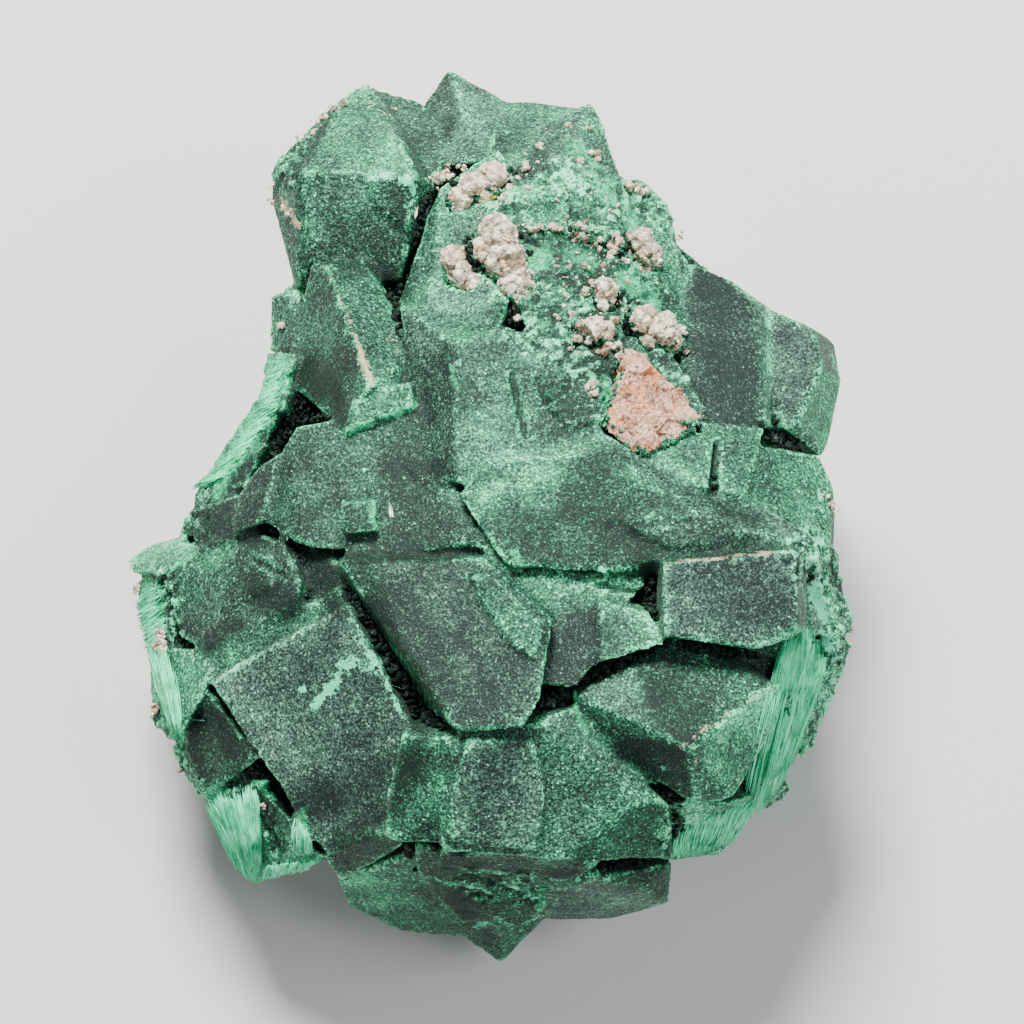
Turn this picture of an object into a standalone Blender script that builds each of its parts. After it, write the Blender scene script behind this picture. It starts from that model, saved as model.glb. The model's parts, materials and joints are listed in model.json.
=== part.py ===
# Malachite specimen: intergrown blocky crystals with seated pale grains, cut flat underneath.
import math
import random

import bmesh
import bpy
from mathutils import Matrix, Vector
from mathutils.bvhtree import BVHTree

MM = 0.001

# The viewing frame: places are millimetres across and down a square view, and height above the cut.
VIEW_ELEVATION = math.radians(68.0)
VIEW_DISTANCE = 330.0
VIEW_MIDDLE = 51.2
MIDDLE_HEIGHT = 32.0

# Driving dimensions, in millimetres.
AXIS_Y = 5.0
ROOT_LENGTH = 16.0
ROOT_TAPER = 0.76
CHUNK_ROOT = 4.5
LEDGE_ROOT = 2.2
LEDGE_TAPER = 0.97
SEAT_GAP = 0.3
LUMP_CORNERS = 18
LUMP_PROUD = 0.3
CRACK_DEPTH = 1.6
FLAT_ANGLE = math.radians(17.0)
GRAIN_FLAT_ANGLE = math.radians(7.0)
SAME_PLANE = math.radians(0.3)
VIEW_ALLOWANCE = 0.12
LEAN_RADIUS = 55.0
BASE_RADII = (24.5, 29.0)
FLANK_REACH = 1.34
BASE_SIDES = 14
FLANK_RINGS = ((4.5, 12, 6.6), (12.5, 13, 5.8), (20.5, 12, 5.2))
FRONT_SHRINK = 0.62
FLANK_MARGIN = 0.8
STOCK = 140.0

MATERIALS = {
    "malachite": ((0.035, 0.085, 0.055), 0.75),
    "pink_feldspar": ((0.55, 0.33, 0.22), 0.6),
    "pale_quartz": ((0.72, 0.68, 0.58), 0.35),
    "rose_quartz": ((0.66, 0.5, 0.43), 0.4),
}

# The specimen's outline as seen, which the hidden side crystals stay inside.
OUTLINE = [
    (44.7, 7.0), (50.0, 9.8), (55.5, 11.2), (59.0, 10.3), (61.5, 16.5), (64.2, 18.1), (67.5, 22.5),
    (68.0, 25.8), (73.5, 28.3), (76.2, 30.8), (82.0, 32.8), (84.3, 38.5), (82.1, 45.5), (83.5, 50.5),
    (83.2, 54.5), (85.5, 64.0), (82.5, 69.5), (79.0, 77.5), (74.5, 83.0), (70.0, 86.0), (67.3, 86.2),
    (67.0, 90.5), (60.5, 92.0), (54.8, 91.8), (50.0, 96.2), (46.0, 93.8), (40.0, 93.2), (35.0, 90.5),
    (32.5, 86.2), (25.2, 88.5), (20.3, 80.0), (17.0, 76.5), (14.8, 72.0), (14.6, 65.5), (13.3, 61.7),
    (12.7, 56.0), (18.0, 53.7), (17.8, 49.7), (22.2, 47.0), (25.8, 37.5), (27.0, 29.5), (28.0, 24.5),
    (26.8, 20.0), (30.0, 13.5), (36.2, 8.3), (42.2, 10.5),
]

# Each crystal by the corners that it shows: across, down, height.
CRYSTALS = {
    "crown_left": [
        (27.3, 16.8, 30.0), (30.0, 13.6, 29.0), (35.6, 8.3, 26.4), (36.6, 8.0, 26.0), (37.6, 9.0, 26.6),
        (40.0, 12.4, 29.5), (43.5, 18.5, 32.0),
        (30.0, 17.2, 34.0), (41.5, 17.2, 35.5), (40.5, 26.5, 31.0), (39.8, 28.2, 30.0), (31.2, 25.8, 30.0),
        (27.3, 20.0, 27.0), (29.5, 29.0, 27.0),
    ],
    "small_dark_left": [
        (27.0, 29.5, 27.0), (28.5, 28.8, 29.0), (29.9, 29.0, 29.5), (30.2, 34.0, 30.0), (28.8, 35.3, 28.0),
        (27.0, 35.0, 26.0),
    ],
    "tall_wedge": [
        (31.2, 26.2, 31.0), (29.2, 35.0, 29.0), (29.3, 38.5, 30.0), (33.5, 42.5, 35.0), (34.5, 43.0, 36.0),
        (32.2, 26.5, 33.0), (37.2, 38.5, 39.5), (36.2, 25.8, 31.5), (39.7, 31.0, 33.0), (41.0, 36.0, 35.5),
        (40.5, 38.5, 36.5),
    ],
    "wedge_foot": [
        (34.5, 43.2, 37.2), (35.0, 40.0, 38.2), (41.0, 38.0, 38.8), (41.5, 40.5, 38.6), (37.5, 42.3, 38.2),
    ],
    "crown_back_left": [
        (37.0, 8.6, 24.6), (38.5, 9.4, 25.6), (40.0, 10.0, 26.0), (42.2, 10.3, 26.0), (44.0, 13.0, 29.0),
        (44.3, 18.0, 32.5),
        (41.0, 16.0, 31.0), (38.5, 12.0, 28.0),
    ],
    "crown_back_middle": [
        (42.2, 10.5, 25.0), (44.7, 7.0, 25.0), (46.0, 8.2, 25.5), (50.0, 9.6, 26.0), (50.5, 12.0, 29.0),
        (49.0, 16.0, 32.0), (44.0, 16.5, 31.0), (46.5, 10.0, 29.0),
    ],
    "crown_back_right": [
        (50.5, 9.8, 26.0), (55.5, 11.2, 26.0), (57.5, 10.8, 26.0), (57.5, 13.0, 30.0), (56.0, 16.0, 33.0),
        (50.5, 17.0, 33.5), (49.5, 15.5, 32.0),
    ],
    "upper_left_face": [
        (40.0, 30.0, 34.0), (41.0, 27.0, 33.5), (42.5, 22.5, 33.0), (44.0, 19.0, 32.5), (47.0, 16.5, 33.0),
        (50.0, 15.2, 33.0), (51.5, 18.0, 35.5), (51.5, 26.0, 37.0), (50.0, 33.0, 39.0), (43.0, 32.0, 37.5),
    ],
    "upper_right_face": [
        (50.0, 15.0, 31.5), (56.0, 11.8, 28.5), (59.0, 10.3, 26.5), (60.5, 13.0, 28.0), (63.0, 20.0, 32.5),
        (62.0, 25.0, 35.5), (52.0, 25.0, 37.0), (50.5, 20.0, 36.0), (57.0, 16.0, 34.0),
    ],
    "grain_shelf": [
        (52.0, 24.0, 36.5), (57.5, 23.5, 36.8), (61.5, 25.0, 35.5), (63.5, 29.0, 37.0), (62.0, 34.0, 39.0),
        (53.0, 34.0, 39.3), (51.0, 28.0, 38.0),
    ],
    "right_ridge": [
        (62.5, 18.0, 29.0), (64.2, 18.1, 28.5), (66.8, 20.5, 29.0), (68.0, 25.8, 31.0), (68.8, 31.5, 35.0),
        (68.4, 34.0, 36.5), (66.0, 35.0, 38.0), (62.5, 30.0, 37.0), (62.0, 22.0, 34.0),
    ],
    "chunk_shelf": [
        (58.0, 33.5, 38.5), (66.5, 33.5, 38.0), (70.5, 41.0, 39.0), (67.5, 44.5, 40.0), (60.5, 43.5, 40.2),
        (60.0, 37.0, 39.3),
    ],
    "right_block_back": [
        (69.0, 26.3, 32.0), (73.5, 28.3, 32.0), (75.2, 29.8, 32.5), (76.5, 42.0, 37.5), (69.5, 42.2, 39.0),
        (68.2, 36.0, 37.5), (77.5, 31.0, 29.5), (77.5, 43.0, 33.5),
    ],
    "right_block_rim": [
        (77.0, 30.8, 30.0), (79.5, 32.2, 31.0), (81.5, 33.0, 31.0), (82.2, 36.0, 32.5), (80.0, 42.0, 35.5),
        (78.5, 43.0, 36.0), (83.2, 34.0, 26.5), (84.3, 38.5, 28.0), (83.0, 43.5, 29.0), (82.1, 45.5, 29.5),
    ],
    "right_block_low": [
        (76.5, 44.7, 37.5), (79.0, 45.5, 36.5), (82.0, 45.5, 33.0), (83.3, 49.0, 32.0), (83.2, 56.0, 33.0),
        (82.0, 57.0, 35.0), (76.0, 53.0, 39.0), (74.5, 49.7, 39.5), (83.5, 50.5, 30.0), (83.2, 54.5, 30.0),
    ],
    "green_plate_left": [
        (64.5, 45.5, 41.2), (66.5, 44.0, 41.0), (69.5, 43.0, 40.8), (71.6, 44.0, 40.6), (71.8, 45.0, 40.8),
        (71.2, 49.0, 42.0), (69.0, 48.4, 42.0),
    ],
    "green_plate_right": [
        (70.0, 42.2, 39.6), (76.5, 42.7, 38.2), (75.8, 46.5, 39.4), (74.5, 49.9, 40.6), (72.2, 49.2, 41.2),
        (72.4, 44.5, 39.8),
    ],
    "middle_prism": [
        (44.5, 34.0, 40.0), (47.0, 40.0, 41.0), (48.7, 45.5, 42.0), (46.5, 48.5, 41.5), (40.0, 30.0, 35.0),
        (41.4, 38.0, 36.5), (42.0, 44.0, 38.0), (44.0, 48.0, 39.5), (50.0, 33.0, 40.0), (59.0, 35.0, 39.8),
        (62.0, 39.0, 40.2), (60.0, 43.0, 40.8), (53.0, 46.4, 41.6),
    ],
    "great_slab": [
        (46.0, 49.4, 41.4), (48.8, 46.4, 42.1), (53.0, 45.8, 42.1), (60.0, 43.2, 41.0), (68.0, 48.0, 41.3),
        (76.0, 50.5, 40.1),
        (81.5, 53.5, 37.6), (59.4, 45.2, 42.3), (66.5, 49.4, 42.6), (75.5, 52.2, 41.6), (80.4, 55.0, 39.6),
        (82.5, 57.0, 37.2), (65.5, 56.0, 42.2), (58.0, 57.5, 42.1), (50.5, 56.5, 41.7),
    ],
    "great_slab_ledge": [
        (48.5, 54.8, 40.6), (52.0, 59.0, 40.6), (55.5, 61.8, 40.3), (57.8, 62.0, 40.2), (64.0, 59.5, 40.4),
        (67.0, 53.0, 40.8), (56.0, 54.0, 40.8),
    ],
    "left_slab": [
        (29.5, 42.5, 35.0), (34.3, 43.2, 36.5), (42.0, 40.8, 37.5), (44.0, 48.0, 39.0), (46.5, 50.0, 40.0),
        (48.5, 54.5, 40.3), (33.5, 55.3, 37.5), (28.5, 53.8, 35.0), (26.2, 52.2, 33.0), (27.8, 46.0, 33.8),
    ],
    "left_slab_ledge": [
        (34.0, 50.3, 38.4), (37.4, 50.0, 39.1), (37.6, 53.3, 39.4), (34.3, 53.6, 38.8),
    ],
    "left_grey_wedge": [
        (27.8, 45.5, 34.6), (26.2, 52.4, 34.0), (23.2, 53.6, 31.4), (23.8, 49.4, 31.0), (26.0, 46.5, 32.8),
    ],
    "left_dark_face": [
        (18.8, 51.2, 25.0), (24.4, 49.4, 30.4), (23.6, 53.8, 30.4), (19.4, 55.2, 27.2),
    ],
    "left_corner": [
        (12.7, 56.0, 18.0), (15.0, 54.5, 19.0), (17.8, 53.7, 21.0), (20.0, 54.8, 25.0), (17.5, 56.2, 25.0),
        (16.0, 57.6, 24.0), (13.0, 57.2, 19.0),
    ],
    "left_lower_block": [
        (16.5, 57.0, 24.0), (20.0, 54.8, 26.5), (24.0, 52.5, 30.0), (28.5, 54.5, 34.5), (30.0, 58.0, 36.0),
        (30.0, 60.5, 35.5), (24.0, 63.2, 31.0), (21.3, 65.5, 28.5), (17.5, 63.5, 25.5),
    ],
    "left_gap_floor": [
        (28.5, 54.5, 33.0), (33.5, 55.6, 36.0), (34.6, 60.3, 36.4), (29.0, 62.0, 33.0),
    ],
    "left_band": [
        (21.0, 66.0, 27.6), (24.5, 63.5, 31.0), (29.0, 61.0, 34.5), (34.5, 59.8, 37.0), (35.0, 61.5, 37.2),
        (22.0, 68.5, 28.3),
    ],
    "left_light_face": [
        (16.0, 64.5, 22.5), (20.5, 65.5, 28.0), (21.3, 66.8, 28.5), (20.7, 68.5, 28.5), (18.0, 74.0, 25.0),
        (16.5, 69.0, 22.5),
    ],
    "great_square": [
        (20.8, 68.2, 28.7), (34.7, 60.5, 38.3), (41.5, 73.3, 36.9), (43.4, 76.9, 36.4), (41.5, 82.0, 33.6),
        (32.5, 85.7, 27.9),
    ],
    "square_side": [
        (20.5, 68.7, 27.5), (25.8, 76.0, 27.5), (24.0, 77.5, 25.5), (20.3, 79.7, 21.0), (18.3, 74.5, 22.0),
        (19.0, 71.0, 24.0),
    ],
    "tail": [
        (20.3, 79.7, 19.0), (24.0, 77.2, 24.0), (26.5, 78.5, 25.5), (26.0, 81.0, 24.0), (25.8, 85.0, 21.0),
        (25.2, 88.5, 15.0), (22.5, 85.0, 14.5), (21.5, 82.2, 15.5),
    ],
    "tail_face": [
        (26.5, 79.0, 25.5), (32.3, 85.6, 26.0), (32.2, 86.3, 24.0), (27.5, 88.0, 17.0), (25.2, 88.5, 14.5),
        (25.8, 85.0, 20.0),
    ],
    "tail_wedge": [
        (29.0, 81.5, 27.6), (31.0, 83.5, 28.0), (31.2, 85.6, 26.0), (29.2, 85.6, 25.0),
    ],
    "shield": [
        (33.5, 55.7, 38.5), (48.5, 56.0, 41.8), (52.0, 59.5, 42.4), (55.5, 62.0, 42.4), (54.5, 66.5, 42.4),
        (54.0, 70.0, 42.0), (52.0, 73.0, 41.4), (46.0, 73.0, 40.8), (38.5, 60.0, 40.2), (43.0, 69.0, 41.0),
        (35.0, 59.0, 32.5), (40.4, 69.0, 31.0),
    ],
    "small_facet_left": [
        (54.5, 62.3, 40.2), (57.8, 62.0, 41.0), (60.0, 60.3, 41.2), (60.0, 66.5, 41.6), (57.5, 69.0, 41.0),
        (54.5, 68.5, 40.0),
    ],
    "small_facet_right": [
        (60.0, 60.0, 41.5), (65.0, 61.5, 41.6), (66.5, 64.5, 41.4), (60.0, 66.5, 42.0),
    ],
    "right_dark_block": [
        (66.2, 56.2, 43.6), (79.5, 55.0, 42.0), (80.0, 63.0, 40.6), (79.0, 64.0, 40.4), (75.5, 65.0, 41.0),
        (66.8, 63.8, 43.0), (65.5, 57.0, 39.0), (65.5, 63.5, 38.5), (80.6, 56.0, 37.0), (80.8, 63.0, 36.0),
    ],
    "lower_right_wedge": [
        (68.5, 74.5, 41.8), (57.0, 69.3, 39.5), (78.0, 68.7, 37.5), (70.0, 80.5, 34.0), (66.5, 64.5, 39.5),
        (74.0, 66.0, 38.2), (60.0, 68.0, 39.8), (58.5, 73.5, 37.2), (65.0, 78.0, 35.4), (73.5, 80.0, 33.0),
        (75.5, 76.0, 34.0), (78.0, 71.5, 35.0),
    ],
    "rim_root": [
        (73.5, 65.0, 38.6), (79.4, 63.8, 37.6), (80.2, 67.4, 34.6), (79.0, 72.0, 32.6), (77.8, 68.4, 35.8),
        (75.4, 67.0, 37.4),
    ],
    "rim_bit": [
        (76.0, 79.0, 25.0), (79.3, 78.7, 20.0), (78.5, 79.6, 18.5), (76.5, 81.1, 19.0), (78.0, 77.5, 23.0),
    ],
    "lower_right_face": [
        (70.0, 80.5, 32.6), (73.5, 80.0, 31.6), (76.0, 79.5, 27.5), (75.5, 81.5, 23.0), (71.7, 85.5, 18.5),
        (67.3, 86.2, 19.0), (65.0, 84.0, 26.0), (65.0, 80.0, 33.0),
    ],
    "bottom_column": [
        (40.0, 73.5, 38.3), (45.5, 73.7, 39.5), (44.6, 79.0, 37.4), (44.8, 84.4, 33.5), (40.5, 84.3, 33.2),
        (38.5, 83.4, 32.6), (39.2, 79.0, 35.2),
    ],
    "bottom_block": [
        (46.2, 73.3, 39.7), (52.0, 73.3, 40.2), (57.0, 71.0, 39.5), (58.5, 74.0, 38.5), (67.0, 80.5, 34.0),
        (67.5, 86.0, 28.0), (54.5, 86.0, 33.8), (44.3, 85.0, 33.4), (44.0, 80.0, 36.5),
    ],
    "bottom_ledge_upper": [
        (44.3, 84.8, 32.2), (54.5, 86.0, 32.8), (60.0, 86.0, 31.0), (57.0, 88.0, 28.6), (47.0, 87.2, 29.4),
        (43.5, 86.2, 29.2),
    ],
    "bottom_ledge_lower": [
        (41.5, 84.5, 30.0), (41.7, 87.5, 26.0), (44.0, 88.5, 25.0), (52.0, 90.0, 23.0), (60.0, 87.8, 27.0),
        (54.0, 86.5, 30.0),
    ],
    "bottom_under_face": [
        (54.5, 88.2, 26.6), (60.0, 87.6, 27.0), (64.0, 88.8, 24.0), (67.4, 86.4, 25.0), (67.0, 90.5, 17.0),
        (60.5, 92.0, 11.0), (54.8, 91.8, 11.0), (52.0, 90.0, 20.0),
    ],
    "tip_crystal": [
        (45.5, 92.0, 14.0), (50.0, 96.2, 4.0), (54.8, 91.8, 11.0), (52.0, 89.5, 20.0), (47.5, 90.0, 20.0),
        (50.0, 91.8, 18.0), (46.0, 93.8, 8.0),
    ],
    "bottom_dark_bit": [
        (32.5, 86.0, 26.0), (33.5, 84.5, 28.6), (37.0, 83.0, 31.6), (40.5, 83.5, 32.4), (40.0, 85.0, 30.4),
        (34.0, 88.0, 22.0),
    ],
    "bottom_middle_fill": [
        (42.0, 86.2, 26.5), (48.0, 87.6, 27.0), (50.0, 91.0, 20.0), (46.4, 92.2, 15.5), (43.5, 90.0, 20.0),
    ],
    "bottom_left_wedge": [
        (33.5, 88.0, 17.0), (37.5, 87.0, 22.0), (41.5, 85.0, 28.0), (46.5, 91.5, 16.0), (46.0, 93.8, 9.0),
        (40.0, 93.2, 8.0), (35.0, 90.5, 11.0),
    ],
}

# Lumps and fibre bundles on the broken rims: the line they start at, the line they reach, how many.
BUNDLES = {
    "right_rim_upper": [(80.2, 55.8, 37.0), (83.3, 54.8, 29.8), (79.8, 64.4, 35.6), (85.5, 64.0, 28.2), 4],
    "right_rim_lower": [(79.4, 63.6, 35.2), (85.3, 64.2, 27.6), (76.6, 79.2, 29.0), (80.8, 75.2, 23.0), 5],
    "left_rim_top": [(29.6, 35.2, 31.0), (28.4, 41.0, 32.0), (26.6, 35.2, 28.0), (25.3, 40.0, 28.5), 3],
    "left_rim_middle": [(28.2, 40.6, 32.0), (24.6, 48.6, 29.0), (25.2, 39.8, 27.0), (20.2, 48.0, 24.0), 4],
    "left_rim_corner": [(24.6, 47.6, 28.6), (21.0, 53.6, 26.0), (20.0, 48.0, 23.5), (17.9, 53.0, 22.0), 3],
    "left_strip_upper": [(16.8, 57.6, 23.0), (17.2, 64.0, 24.0), (13.4, 58.0, 17.5), (14.6, 64.6, 17.5), 4],
    "left_strip_lower": [(14.7, 65.0, 17.0), (16.6, 64.4, 22.0), (15.4, 73.6, 17.5), (18.4, 74.6, 23.2), 3],
    "tail_fan": [(20.4, 79.8, 19.6), (26.4, 78.2, 26.0), (23.8, 87.6, 14.6), (25.8, 88.2, 15.4), 4],
    "left_rim_low": [(18.4, 74.2, 21.5), (21.0, 79.6, 20.0), (16.9, 74.8, 17.0), (19.4, 79.4, 16.0), 3],
}

# Thin growth ledges on the faces: corners across and down, and how far each stands up.
LEDGES = {
    "bottom_block_ledge": (
        [(46.6, 74.0), (53.4, 73.9), (54.6, 80.0), (53.6, 85.3), (45.0, 84.4), (44.9, 80.0)], 0.8,
    ),
    "left_block_ledge": ([(20.6, 57.6), (24.0, 54.6), (27.4, 55.6), (27.0, 58.6), (21.8, 61.0)], 0.7),
    "crown_ledge": ([(36.4, 17.7), (41.0, 17.7), (41.9, 19.4), (40.8, 23.0), (38.0, 21.0)], 0.5),
    "prism_ledge": ([(56.2, 36.0), (60.6, 37.4), (60.2, 41.6), (57.0, 43.0), (54.8, 40.0)], 0.6),
    "shield_ledge": ([(46.8, 57.4), (49.2, 57.4), (54.4, 62.4), (53.4, 65.8), (50.8, 64.0)], 0.5),
    "slab_ledge": ([(66.0, 50.8), (74.8, 53.2), (74.0, 54.8), (67.0, 54.6), (62.6, 52.4)], 0.5),
}

# Open cracks in the middle prism: their ends as seen, and the width between.
CRACKS = {
    "long_crack": ((51.2, 37.6), (53.2, 45.6), 0.5),
    "short_crack": ((53.5, 37.8), (54.6, 40.4), 0.6),
    "side_crack": ((56.0, 38.2), (56.6, 40.6), 0.35),
    "plate_crack": ((71.7, 44.6), (71.5, 48.8), 0.5),
}

# Seated grains: material, then the lumps they are made of as across, down and radius.
GRAINS = {
    "big_quartz": ("pale_quartz", [
        (49.9, 23.4, 2.1), (50.5, 26.0, 2.2), (51.5, 28.6, 2.2), (52.3, 30.3, 1.5), (48.9, 25.0, 1.5),
    ]),
    "left_quartz": ("pale_quartz", [(45.2, 25.9, 1.35), (46.0, 27.3, 1.4), (47.0, 28.6, 1.35)]),
    "cream_grain": ("pale_quartz", [
        (46.0, 20.0, 1.3), (47.4, 18.6, 1.5), (49.3, 17.5, 1.4), (48.8, 19.2, 1.3),
    ]),
    "upper_right_quartz": ("pale_quartz", [(64.2, 24.0, 1.35), (64.7, 25.6, 1.35), (64.2, 27.0, 1.1)]),
    "lower_right_quartz": ("pale_quartz", [
        (64.4, 32.0, 1.4), (66.3, 32.8, 1.6), (67.2, 34.3, 1.3), (65.2, 34.0, 1.2),
    ]),
    "white_grain": ("pale_quartz", [(60.5, 28.9, 1.15), (60.7, 30.3, 1.0)]),
    "rose_grain": ("rose_quartz", [(59.6, 33.1, 1.1), (60.7, 33.3, 0.8), (58.4, 32.8, 0.95)]),
    "pink_bead": ("rose_quartz", [(58.2, 23.5, 1.1)]),
    "grey_grain": ("rose_quartz", [(61.5, 24.4, 1.0)]),
}

# The pink chunk's corners: across, down and how far each stands above the face under it.
CHUNK_CORNERS = [
    (62.6, 35.0, 0.5), (64.2, 35.6, 0.5), (67.2, 38.8, 0.6), (69.6, 42.0, 0.5), (68.9, 43.1, 0.4),
    (66.6, 43.9, 0.7), (64.3, 45.3, 0.7), (63.0, 44.4, 0.9), (60.6, 43.0, 0.5), (61.7, 39.5, 0.5),
    (62.1, 37.0, 0.5), (63.6, 38.6, 2.4), (65.9, 41.4, 2.6), (63.6, 42.2, 2.3),
]

# The mass that the crystals grow from, inside them.
INNER_TOP = [
    (37.0, 17.0, 22.0), (46.0, 15.0, 22.0), (57.0, 17.0, 24.0), (64.0, 25.0, 27.0), (73.0, 35.0, 28.0),
    (77.0, 43.0, 26.0), (77.0, 57.0, 25.0), (74.0, 69.0, 22.0), (67.0, 79.0, 18.0), (59.0, 85.0, 15.0),
    (48.0, 86.0, 14.0), (39.0, 84.0, 15.0), (29.0, 79.0, 15.0), (23.0, 70.0, 16.0), (21.5, 58.0, 18.0),
    (27.0, 50.0, 23.0), (32.0, 38.0, 26.0), (33.0, 25.0, 25.0), (50.0, 30.0, 32.0), (62.0, 42.0, 34.0),
    (45.0, 45.0, 32.0), (40.0, 58.0, 28.0), (60.0, 62.0, 34.0), (56.0, 72.0, 30.0), (70.0, 55.0, 33.0),
]

SIN = math.sin(VIEW_ELEVATION)
COS = math.cos(VIEW_ELEVATION)
EYE = Vector((0.0, -COS * VIEW_DISTANCE, MIDDLE_HEIGHT + SIN * VIEW_DISTANCE))


def place(across, down, height):
    # The point at this height on the line of sight through a place in the view.
    x = across - VIEW_MIDDLE
    y = VIEW_MIDDLE - down
    depth = (height - MIDDLE_HEIGHT - COS * y) / (SIN - COS * y / VIEW_DISTANCE)
    scale = 1.0 - depth / VIEW_DISTANCE
    return Vector((x * scale, SIN * y * scale - COS * depth, height))


def seen(point):
    # Where a point shows in the view, across and down.
    rel = point - Vector((0.0, 0.0, MIDDLE_HEIGHT))
    depth = -COS * rel.y + SIN * rel.z
    scale = 1.0 - depth / VIEW_DISTANCE
    return VIEW_MIDDLE + rel.x / scale, VIEW_MIDDLE - (SIN * rel.y + COS * rel.z) / scale


def inside_outline(across, down):
    # Counts how often a line to the right crosses the outline.
    crossings = 0
    for (x0, y0), (x1, y1) in zip(OUTLINE, OUTLINE[1:] + OUTLINE[:1]):
        if (y0 > down) != (y1 > down) and across < x0 + (down - y0) * (x1 - x0) / (y1 - y0):
            crossings += 1
    return crossings % 2 == 1


def rooted(points, length, taper):
    # Adds roots that run away from the viewer and lean towards the specimen's axis.
    roots = []
    for point in points:
        away = (point - EYE).normalized()
        lean = Vector((-point.x, AXIS_Y - point.y, 0.0)) / LEAN_RADIUS
        roots.append(point + (away + lean).normalized() * length)
    middle = sum(roots, Vector()) / len(roots)
    return points + [middle + (root - middle) * taper for root in roots]


def flat_planes(points, flat_angle):
    # The hull's triangles are gathered by direction, and each gathering becomes one flat face.
    bm = bmesh.new()
    for point in points:
        bm.verts.new(point)
    bmesh.ops.convex_hull(bm, input=list(bm.verts))
    bmesh.ops.recalc_face_normals(bm, faces=list(bm.faces))
    groups = []
    for face in sorted(bm.faces, key=lambda f: -f.calc_area()):
        area = face.calc_area()
        for group in groups:
            if group["normal"].normalized().angle(face.normal, 0.0) < flat_angle:
                group["normal"] += face.normal * area
                group["points"].append((face.calc_center_median(), area))
                break
        else:
            groups.append({"normal": face.normal * area, "points": [(face.calc_center_median(), area)]})
    bm.free()
    planes = []
    for group in groups:
        normal = group["normal"].normalized()
        weight = sum(area for _, area in group["points"])
        offset = sum(normal.dot(point) * area for point, area in group["points"]) / weight
        planes.append((normal, offset))
    return planes


def sight_planes(points):
    # Planes through the eye that hold a body inside the shape that its corners show.
    places = sorted((*seen(point), index) for index, point in enumerate(points))
    ring = []
    for order in (places, places[::-1]):
        side = []
        for spot in order:
            while len(side) > 1:
                a, b = side[-2], side[-1]
                if (b[0] - a[0]) * (spot[1] - a[1]) - (b[1] - a[1]) * (spot[0] - a[0]) > 0:
                    break
                side.pop()
            side.append(spot)
        ring += side[:-1]
    middle = sum(points, Vector()) / len(points)
    planes = []
    for a, b in zip(ring, ring[1:] + ring[:1]):
        first, second = points[a[2]], points[b[2]]
        normal = (first - EYE).cross(second - EYE).normalized()
        if normal.dot(middle - first) > 0:
            normal.negate()
        planes.append((normal, normal.dot(first) + VIEW_ALLOWANCE))
    return planes


def solid(name, points, grow=0.0, flat_angle=FLAT_ANGLE, held=False):
    # A flat-faced body: a large block trimmed by each plane, with the planes moved out by grow.
    middle = sum(points, Vector()) / len(points)
    bm = bmesh.new()
    bmesh.ops.create_cube(bm, size=STOCK, matrix=Matrix.Translation(middle))
    for normal, offset in flat_planes(points, flat_angle) + (sight_planes(points) if held else []):
        cut = bmesh.ops.bisect_plane(
            bm,
            geom=bm.verts[:] + bm.edges[:] + bm.faces[:],
            dist=1e-5,
            plane_co=normal * (offset + grow),
            plane_no=normal,
            clear_outer=True,
        )
        rim = [item for item in cut["geom_cut"] if isinstance(item, bmesh.types.BMEdge)]
        if rim:
            bmesh.ops.edgeloop_fill(bm, edges=rim)
    corners = [vertex.co.copy() * MM for vertex in bm.verts]
    bm.free()
    hull = bmesh.new()
    for corner in corners:
        hull.verts.new(corner)
    bmesh.ops.convex_hull(hull, input=list(hull.verts))
    bmesh.ops.delete(hull, geom=[vertex for vertex in hull.verts if not vertex.link_faces], context="VERTS")
    bmesh.ops.dissolve_limit(hull, angle_limit=SAME_PLANE, verts=list(hull.verts), edges=list(hull.edges))
    bmesh.ops.recalc_face_normals(hull, faces=list(hull.faces))
    mesh = bpy.data.meshes.new(name)
    hull.to_mesh(mesh)
    hull.free()
    return bpy.data.objects.new(name, mesh)


def material(name):
    colour, roughness = MATERIALS[name]
    made = bpy.data.materials.get(name) or bpy.data.materials.new(name)
    made.use_nodes = True
    shader = made.node_tree.nodes["Principled BSDF"]
    shader.inputs["Base Color"].default_value = (*colour, 1.0)
    shader.inputs["Roughness"].default_value = roughness
    shader.inputs["Metallic"].default_value = 0.0
    return made


def crystal_bodies():
    for name, corners in CRYSTALS.items():
        yield name, rooted([place(*corner) for corner in corners], ROOT_LENGTH, ROOT_TAPER)


def bundle_bodies():
    # A broken rim is a row of uneven bundles between two lines.
    chance = random.Random(11)
    for name, (near_a, near_b, far_a, far_b, count) in BUNDLES.items():
        for index in range(count):
            start = index / count
            end = (index + 1) / count + 0.05
            lift = chance.uniform(-1.1, 0.7)
            reach = chance.uniform(0.86, 1.0)
            corners = []
            for part in (start, end):
                near = Vector(near_a).lerp(Vector(near_b), part)
                far = near.lerp(Vector(far_a).lerp(Vector(far_b), part), reach)
                for spot, rise in ((near, lift), (near.lerp(far, 0.55), lift + 0.3), (far, 0.0)):
                    corners.append(place(spot.x, spot.y, spot.z + rise))
            yield f"{name}_{index}", rooted(corners, ROOT_LENGTH * 0.8, ROOT_TAPER)


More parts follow.
